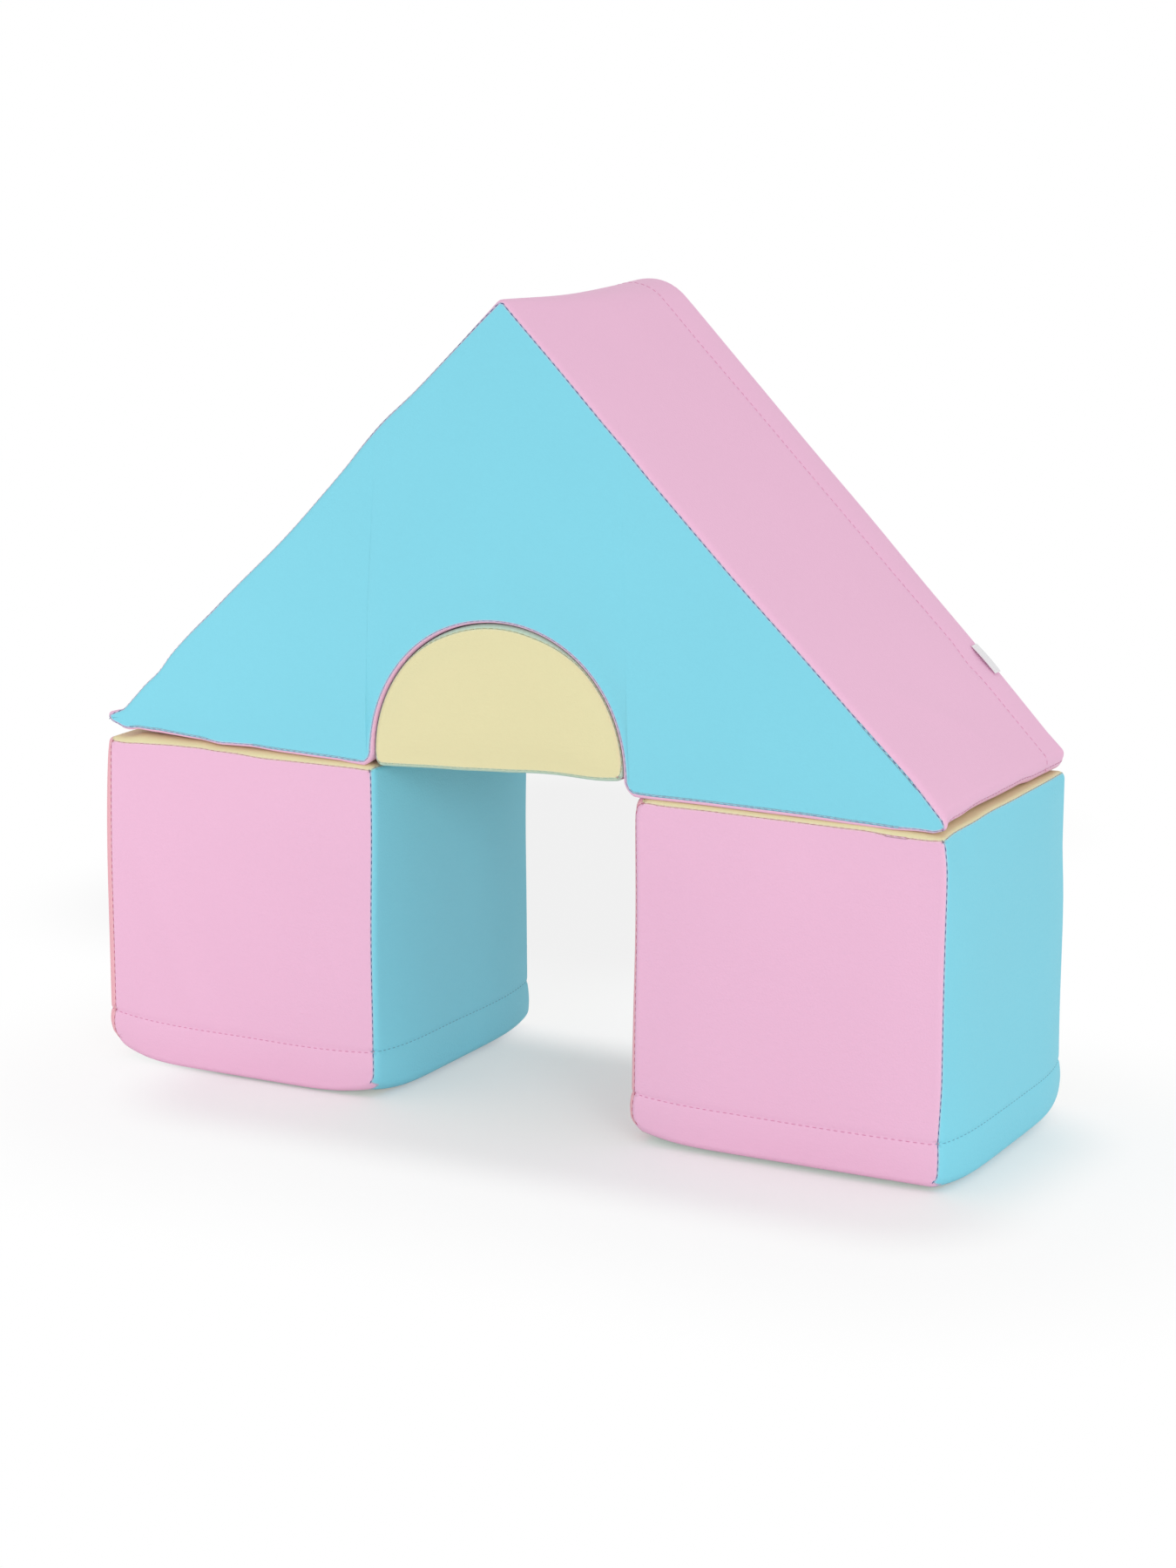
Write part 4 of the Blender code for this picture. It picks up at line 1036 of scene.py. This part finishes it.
def zip_pieces(block, body):
    low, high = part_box(body + "_zip")
    level, top = (low.z + high.z) / 2, high.y
    mesh = bmesh.new()
    bmesh.ops.create_cube(mesh, size=1.0)
    bmesh.ops.scale(mesh, vec=(high.x - low.x, TAPE_THICK, high.z - low.z), verts=mesh.verts)
    bmesh.ops.translate(mesh, vec=((low.x + high.x) / 2, low.y + TAPE_THICK / 2, level), verts=mesh.verts)
    bmesh.ops.bevel(mesh, geom=mesh.edges[:], offset=0.15 * MM, segments=2, affect="EDGES", profile=0.5)
    tape = add_piece(body + "_zip_tape", mesh_data(body + "_zip_tape", mesh, TAPE), body)
    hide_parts(body + "_zip")
    half, middle = block["zip"][0] / 2 - 1.5 * MM, block["place"][0]
    lines = []
    for way in (-1, 1):
        start = middle - half + (COIL_PITCH / 2 if way > 0 else 0.0)
        lines.append([(x, top - COIL_DEEP, level + way * COIL_ROWS) for x in (start, middle + half)])
    coil = {"Pitch": COIL_PITCH, "Size": COIL_GRAIN, "Material": NYLON}
    grown(body + "_zip_coil", lines, coil, body)
    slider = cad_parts[body + "_zip_slider"]
    slider.data.materials.clear()
    slider.data.materials.append(NICKEL)


# %% [markdown]
# ## The foam cores
# Inside each cover is a block of open-cell foam, cut a little smaller than the cover. It doesn't
# show while the covers are closed. It is modelled from the same skin, further in, so that a cover
# taken apart in another scene has what the real one holds. With the foam, one function can dress a
# whole block: it makes the panels, the threads, the foam and the zip.

# %% Foam core
# Open-cell polyurethane foam is matt cream with a fine pattern of cells.
CELL = 1.1 * MM
FOAM = patterned(
    "open cell upholstery foam", "Voronoi", 1.0 / CELL, ("#d8cfb0", "#f3ecd4"), (0.95,), (0.6, 0.3)
)
FOAM_DEPTH = 5.0 * MM


def foam_core(block, body):
    inside = Skin(block, FOAM_DEPTH)
    grids = [(inside.band(0, inside.count), False), (inside.rolled_edge(), False)]
    mesh = grids_mesh(grids + [(inside.end(True), True), (inside.end(False), False)])
    data = mesh_data(body + "_foam", mesh, FOAM)
    data.shade_smooth()
    core = add_piece(body + "_foam", data, body)
    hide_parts(body + "_foam_core")


# %% A whole block
def dress(body, block, panels, threads, ending=""):
    """Makes a block's panels, its threads, its foam and its zip, in that order."""
    for name, (colour, material, grids, rows) in panels.items():
        full_name = f"{body}_{name}_cover"
        data = sewn_panel(full_name, grids, material, block, name.startswith("back"), rows)
        piece = add_piece(full_name, data, body)
        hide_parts(f"{body}_{name}{ending}")
    for colour, slot, lines, width in threads:
        values = {"Material": THREADS[colour], "Size": (STITCH_LENGTH, width * MM, width * MM)}
        grown(f"{body}_{colour}_stitches", lines, values, body)
    foam_core(block, body)
    zip_pieces(block, body)


# %% [markdown]
# ## The two cubes
# Six panels each: pink in front, coral on the left, blue on the right, yellow on top, mint behind
# and below. The walls turn under the base. The left cube's coral wall stands proud of its seam, so a
# strip of it shows along the left edge. The right cube's pink front is drawn round its side edges,
# and its yellow top comes down over the front edge.

# %% Cubes
TURNED_UNDER = 6
CUBE_ROWS = np.concatenate(([-139.5, -134, -127], np.linspace(-118, 118, 32), [127, 134, 139.5])) * MM
CUBE = {
    "depth": 300 * MM, "crown": 5 * MM, "rows": CUBE_ROWS,
    "zip": (230 * MM, 78 * MM), "squareness": 0.85, "edges": {},
}
CUBES = {
    "left_cube": {
        **CUBE,
        "place": (-285.15 * MM, 0.0, 0.0),
        "outline": lambda _share: cube_outline((45.0, 45.0)),
        "relief": cube_relief(5.0 * MM, 3.0 * MM),
        "settle": cube_settle((9 * MM, 9 * MM), 7 * MM, 2.0 * MM, np.array([18, 12, 11, 5]) * MM),
        "seams": {
            TOP: ((0, 22), (0.07, 14), (0.13, 20), (0.24, 34), (0.48, 38), (0.58, 21), (0.8, 27), (1, 21)),
        },
        "folds": [
            ((-400, -155, 201), (-332, -155, 62), 16, (0, -1.6, 0)),
            ((-398, -138, 324), (-335, -138, 324), 13, (0, 0, 5.0)),
            ((-318, -138, 324), (-160, -138, 324), 12, (0, 0, 3.3)),
        ],
    },
    "right_cube": {
        **CUBE,
        "place": (285.15 * MM, 0.0, 0.0),
        "outline": lambda _share: cube_outline((75.0, 50.0)),
        "relief": cube_relief(2.5 * MM, 0.0),
        "settle": cube_settle((8 * MM, 12 * MM), 4 * MM, 6.0 * MM, np.array([11, -1, 11, 12]) * MM),
        "seams": {
            RIGHT: ((0.0, 28), (0.14, 30), (0.3, 54), (1.0, 50)),
            LEFT: ((0.0, 36), (0.2, 44), (0.7, 62), (1.0, 64)),
            TOP: ((0.0, 34), (0.05, 14), (0.25, 20), (0.5, 20), (0.85, 10), (0.94, 12), (1.0, 40)),
        },
        "folds": [
            ((137, -152, 321), (137, -152, 321), 9, (4.0, 0, -4.5)),
            ((437, 150, 260), (437, 150, 320), 40, (-2.5, 0, 0)),
            ((440, -150, 318), (440, -120, 318), 20, (-2.5, 0, -1.5)),
            ((385, -152, 320), (440, -150, 318), 16, (0, 0, -2.4)),
            ((443, -150, 316), (443, -90, 318), 34, (0, 0, -2.6)),
        ],
    },
}


def cube_pieces(body, block):
    """Cuts a cube's skin into six panels and says which seams get which thread."""
    skin = Skin(block)
    last = len(skin.y) - 1
    under, back = ROLL_ROWS, last - ROLL_ROWS
    right, top, left = skin.place("lower right"), skin.place("upper right"), skin.place("upper left")
    inner_left, inner_right = TURNED_UNDER, right - TURNED_UNDER
    rear = skin.end(False)
    front = [(skin.end(True), True), (skin.rolled_edge(), False), (skin.band(0, right, 0, under), False)]
    level = FOOT_STEPS + 1 + int(np.argmin(np.abs(HEM_LEVELS - HEM_DEPTH)))
    right_wall, left_wall = skin.band(right, top), skin.band(left, skin.count)
    right_foot = skin.band(inner_right, right, under, back)
    left_foot = skin.band(skin.count, skin.count + inner_left, under, back)
    panels = {
        "front": ("pink", front, [skin.face_row(level)]),
        "back": ("mint", [(rear, False), (skin.band(0, right, back, last), False)], [rear[level]]),
        "right": ("blue", [(right_wall, False), (right_foot, False)], [right_wall[:, level]]),
        "left": ("coral", [(left_wall, False), (left_foot, False)], [left_wall[:, -1 - level]]),
        "top": ("yellow", [(skin.band(top, left), False)], []),
        "base": ("mint", [(skin.band(inner_left, inner_right, under, back), False)], []),
    }
    stretches = ((right, top), (left, skin.count), (top, left))
    edges, back_edges = ([skin.band(a, b, row, row)[0] for a, b in stretches] for row in (0, last))
    ridges = [skin.band(top, top)[:, 0], skin.band(left, left)[:, 0]]
    seams = edges + back_edges + ridges
    hems = {name: hem for name, (_colour, _grids, hem) in panels.items()}
    threads = (
        ("navy", "blue", [edges[0], back_edges[0]], 0.8),
        ("raspberry", "coral", [edges[1], back_edges[1]], 0.8),
        ("brick", "yellow", [edges[2], back_edges[2], *ridges], 0.5),
        ("rose", "pink", [*hems["front"], *hems["left"]], 0.8),
        ("teal", "blue", [*hems["right"], *hems["back"]], 0.8),
    )
    sewn = {
        name: (colour, LEATHER[colour], grids, hem + seams)
        for name, (colour, grids, hem) in panels.items()
    }
    dress(body, block, sewn, threads, "_panel")


for cube_body, cube_block in CUBES.items():
    cube_pieces(cube_body, cube_block)

# %% [markdown]
# ## The roof and the half-round block
# The roof's pink band is one strip over both slopes and the ridge, and a second strip lines the
# underside and the arch. The half-round block has a yellow face and a mint band.

# %% Roof and half-round block
ROOF_LEVEL = 325.8 * MM
ROOF_ROWS = np.concatenate((
    [-139.5, -134, -127],
    np.linspace(-118, 78, 26),
    [86, 91, 95, 98, 100, 102, 103, 104, 105, 106, 107, 108, 110, 113, 117, 122, 128, 134, 139.5],
)) * MM
ROOF = {
    "outline": roof_outline, "relief": roof_relief, "settle": roof_settle,
    "depth": 300 * MM, "crown": 5 * MM, "rows": ROOF_ROWS, "place": (0.0, 0.0, ROOF_LEVEL),
    "zip": (420 * MM, 180 * MM), "squareness": 0.65,
    "seams": {
        TOP: (
            (0.0, 66), (0.10, 66), (0.14, 48), (0.18, 66), (0.31, 66), (0.355, 44), (0.40, 62), (0.48, 36),
            (0.5, 23), (0.56, 23), (0.75, 12), (1.0, 9),
        ),
        BOTTOM: (
            (0, 23), (0.05, 6), (0.12, 18), (0.15, 18), (0.21, 4), (0.27, 6), (0.31, 28), (0.5, 32),
            (0.6, 22), (0.69, 20), (0.73, 5), (0.85, 5), (0.96, 8), (1, 26),
        ),
    },
    "edges": {
        BOTTOM: tuple((share, roll * MM) for share, roll in (
            (0, 6), (0.03, 5), (0.15, 5), (0.22, 4), (0.26, 4), (0.28, 7), (0.715, 7), (0.735, 5),
            (0.9, 5.4), (0.97, 4.5), (1, 6),
        )),
    },
    "folds": [
        ((428, -152, 335), (428, -152, 335), 9, (4.0, 0, -5.0)),
        ((434, 150, 340), (434, 150, 340), 10, (2.5, 0, 1.0)),
        ((440, 110, 331), (440, 150, 331), 9, (-3.0, 0, 0)),
        ((425, 70, 327), (425, 150, 327), 12, (0, 0, -2.0)),
        ((436, -150, 330), (436, -105, 330), 22, (0, 0, -2.5)),
        ((437, -9, 335), (437, 47, 331), 9, (0, 0, 1.2)),
        ((-285, -152, 328), (-275, -152, 328), 18, (0, 0, 2.0)),
        ((-376, -150, 390), (-376, -60, 390), 16, (1.6, 0, -1.6)),
        ((-402, -150, 362), (-402, 0, 362), 14, (1.0, 0, -3.5)),
        ((-419, -150, 354), (-419, 0, 354), 13, (0.5, 0, -6.4)),
        ((-418, -150, 332), (-418, 0, 332), 12, (1.0, 0, 0.5)),
        ((-398, -150, 329), (-398, 0, 329), 16, (0, 0, 1.0)),
        ((-144, -153, 610), (-127, -153, 470), 14, (0, -1.0, 0)),
        ((-30, -153, 557), (-26, -153, 480), 14, (0, -0.9, 0)),
        ((352, -60, 415), (390, 10, 380), 11, (0.8, 0, 0.8)),
        ((128, -138, 635), (128, -138, 635), 22, (0.7, 0, 0.7)),
        ((348, 112, 421), (348, 126, 421), 14, (-1.6, 0, -1.6)),
    ],
}
HALF_ROUND = {
    "outline": half_round_outline, "relief": half_round_relief, "settle": lambda points: points,
    "depth": 298 * MM, "crown": 5 * MM, "rows": np.linspace(-132, 132, 30) * MM,
    "place": (ARCH_OFFSET, 0.0, ROOF_LEVEL + ARCH_LEVEL),
    "zip": (150 * MM, 45 * MM), "squareness": 0.8,
    "seams": {
        TOP: ((0.0, 60), (0.25, 54), (0.38, 22), (0.62, 22), (0.75, 54), (1.0, 60)),
        BOTTOM: ((0.0, 26), (0.1, 27), (0.9, 27), (1.0, 26)),
    },
    "edges": {},
    "folds": [
        ((98, -150, 331), (98, 60, 331), 34, (0, 0, -3)),
        ((-40, -150, 326), (0, -150, 326), 24, (0, 0, -1)),
    ],
}


def gable_pieces(body, block, colours, names, threads, face, hem_row=None):
    """Cuts a skin into two ends and two bands, which meet halfway round the block's two side tips."""
    skin = Skin(block)
    half = skin.steps // 2
    right, left = skin.columns + half, 2 * skin.columns + skin.steps + half
    last = len(skin.y) - 1
    upper, lower = skin.band(right, left), skin.band(left, right + skin.count)
    over = [skin.band(right, left, row, row)[0] for row in (0, last)]
    round_under = [skin.band(left, right + skin.count, row, row)[0] for row in (0, last)]
    tips = [skin.band(place, place)[:, 0] for place in (right, left)]
    hem = [upper[hem_row]] if hem_row else []
    rows = over + round_under + tips + hem
    end, band = colours
    front = [(skin.end(True), True), (skin.rolled_edge(), False)]
    panels = {
        "front_panel": (end, face, front, rows),
        "back_panel": (end, face, [(skin.end(False), False)], rows),
        names[0]: (band, LEATHER[band], [(upper, False)], rows),
        names[1]: (band, LEATHER[band], [(lower, False)], rows),
    }
    rose = ("rose", band, tips + hem, 0.8)
    dress(body, block, panels, ((threads[0], end, over, 0.8), (threads[1], band, round_under, 0.5), rose))


hem_row = ROLL_ROWS + 1 + int(np.argmin(np.abs(ROOF_ROWS - (ROOF["depth"] / 2 - HEM_DEPTH))))
bands, threads = ("slope_band", "underside_band"), ("navy", "mauve")
gable_pieces("roof", ROOF, ("blue", "pink"), bands, threads, ROOF_BLUE, hem_row)
bands, threads = ("arched_band", "base_band"), ("olive", "sage")
gable_pieces("half_round", HALF_ROUND, ("yellow", "mint"), bands, threads, LEATHER["yellow"])

# %% [markdown]
# ## The label tab
# A folded satin tab is caught in the seam of the right slope. On the real thing such a tab carries
# washing words. This one is blank.

# %% Label tab
# Satin ribbon has a soft sheen and the fine ridges of its long floats of thread.
SATIN = patterned(
    "white satin ribbon", "Wave", 350.0, ("#e9e8ea",), (0.45,), (0.3, 0.08), bands_direction="Z"
)
TAB_LENGTH, TAB_CURL, TAB_STEPS = 34 * MM, 0.5 * MM, 12
# The section of the folded tab: places across it and up from the slope, in millimetres.
TAB_PROFILE = (
    (-5.6, 0.2), (-2.0, 0.5), (2.0, 0.9), (4.6, 1.3), (5.5, 1.05),
    (5.4, 0.6), (4.4, 0.45), (2.0, 0.15), (-2.0, -0.25), (-5.6, -0.5),
)


def label_tab():
    low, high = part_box("roof_label_tab")
    middle = (low + high) / 2
    down = Vector((math.cos(PITCH), 0.0, -math.sin(PITCH)))
    out = Vector((math.sin(PITCH), 0.0, math.cos(PITCH)))
    mesh = bmesh.new()
    rows = []
    for share in np.linspace(0.0, 1.0, TAB_STEPS + 1).tolist():
        foot = middle + down * TAB_LENGTH * (share - 0.5)
        curl = TAB_CURL * math.sin(math.pi * share)
        spots = [foot + Vector((0, across * MM, 0)) + out * (up * MM + curl) for across, up in TAB_PROFILE]
        rows.append([mesh.verts.new(spot) for spot in spots])
    count = len(TAB_PROFILE)
    for first, second in zip(rows, rows[1:]):
        for i in range(count):
            mesh.faces.new((first[i], first[(i + 1) % count], second[(i + 1) % count], second[i]))
    mesh.faces.new(rows[0][::-1])
    mesh.faces.new(rows[-1])
    bmesh.ops.recalc_face_normals(mesh, faces=mesh.faces)
    tab = add_piece("blank_label_tab", mesh_data("blank_label_tab", mesh, SATIN), "roof")
    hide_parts("roof_label_tab")


label_tab()
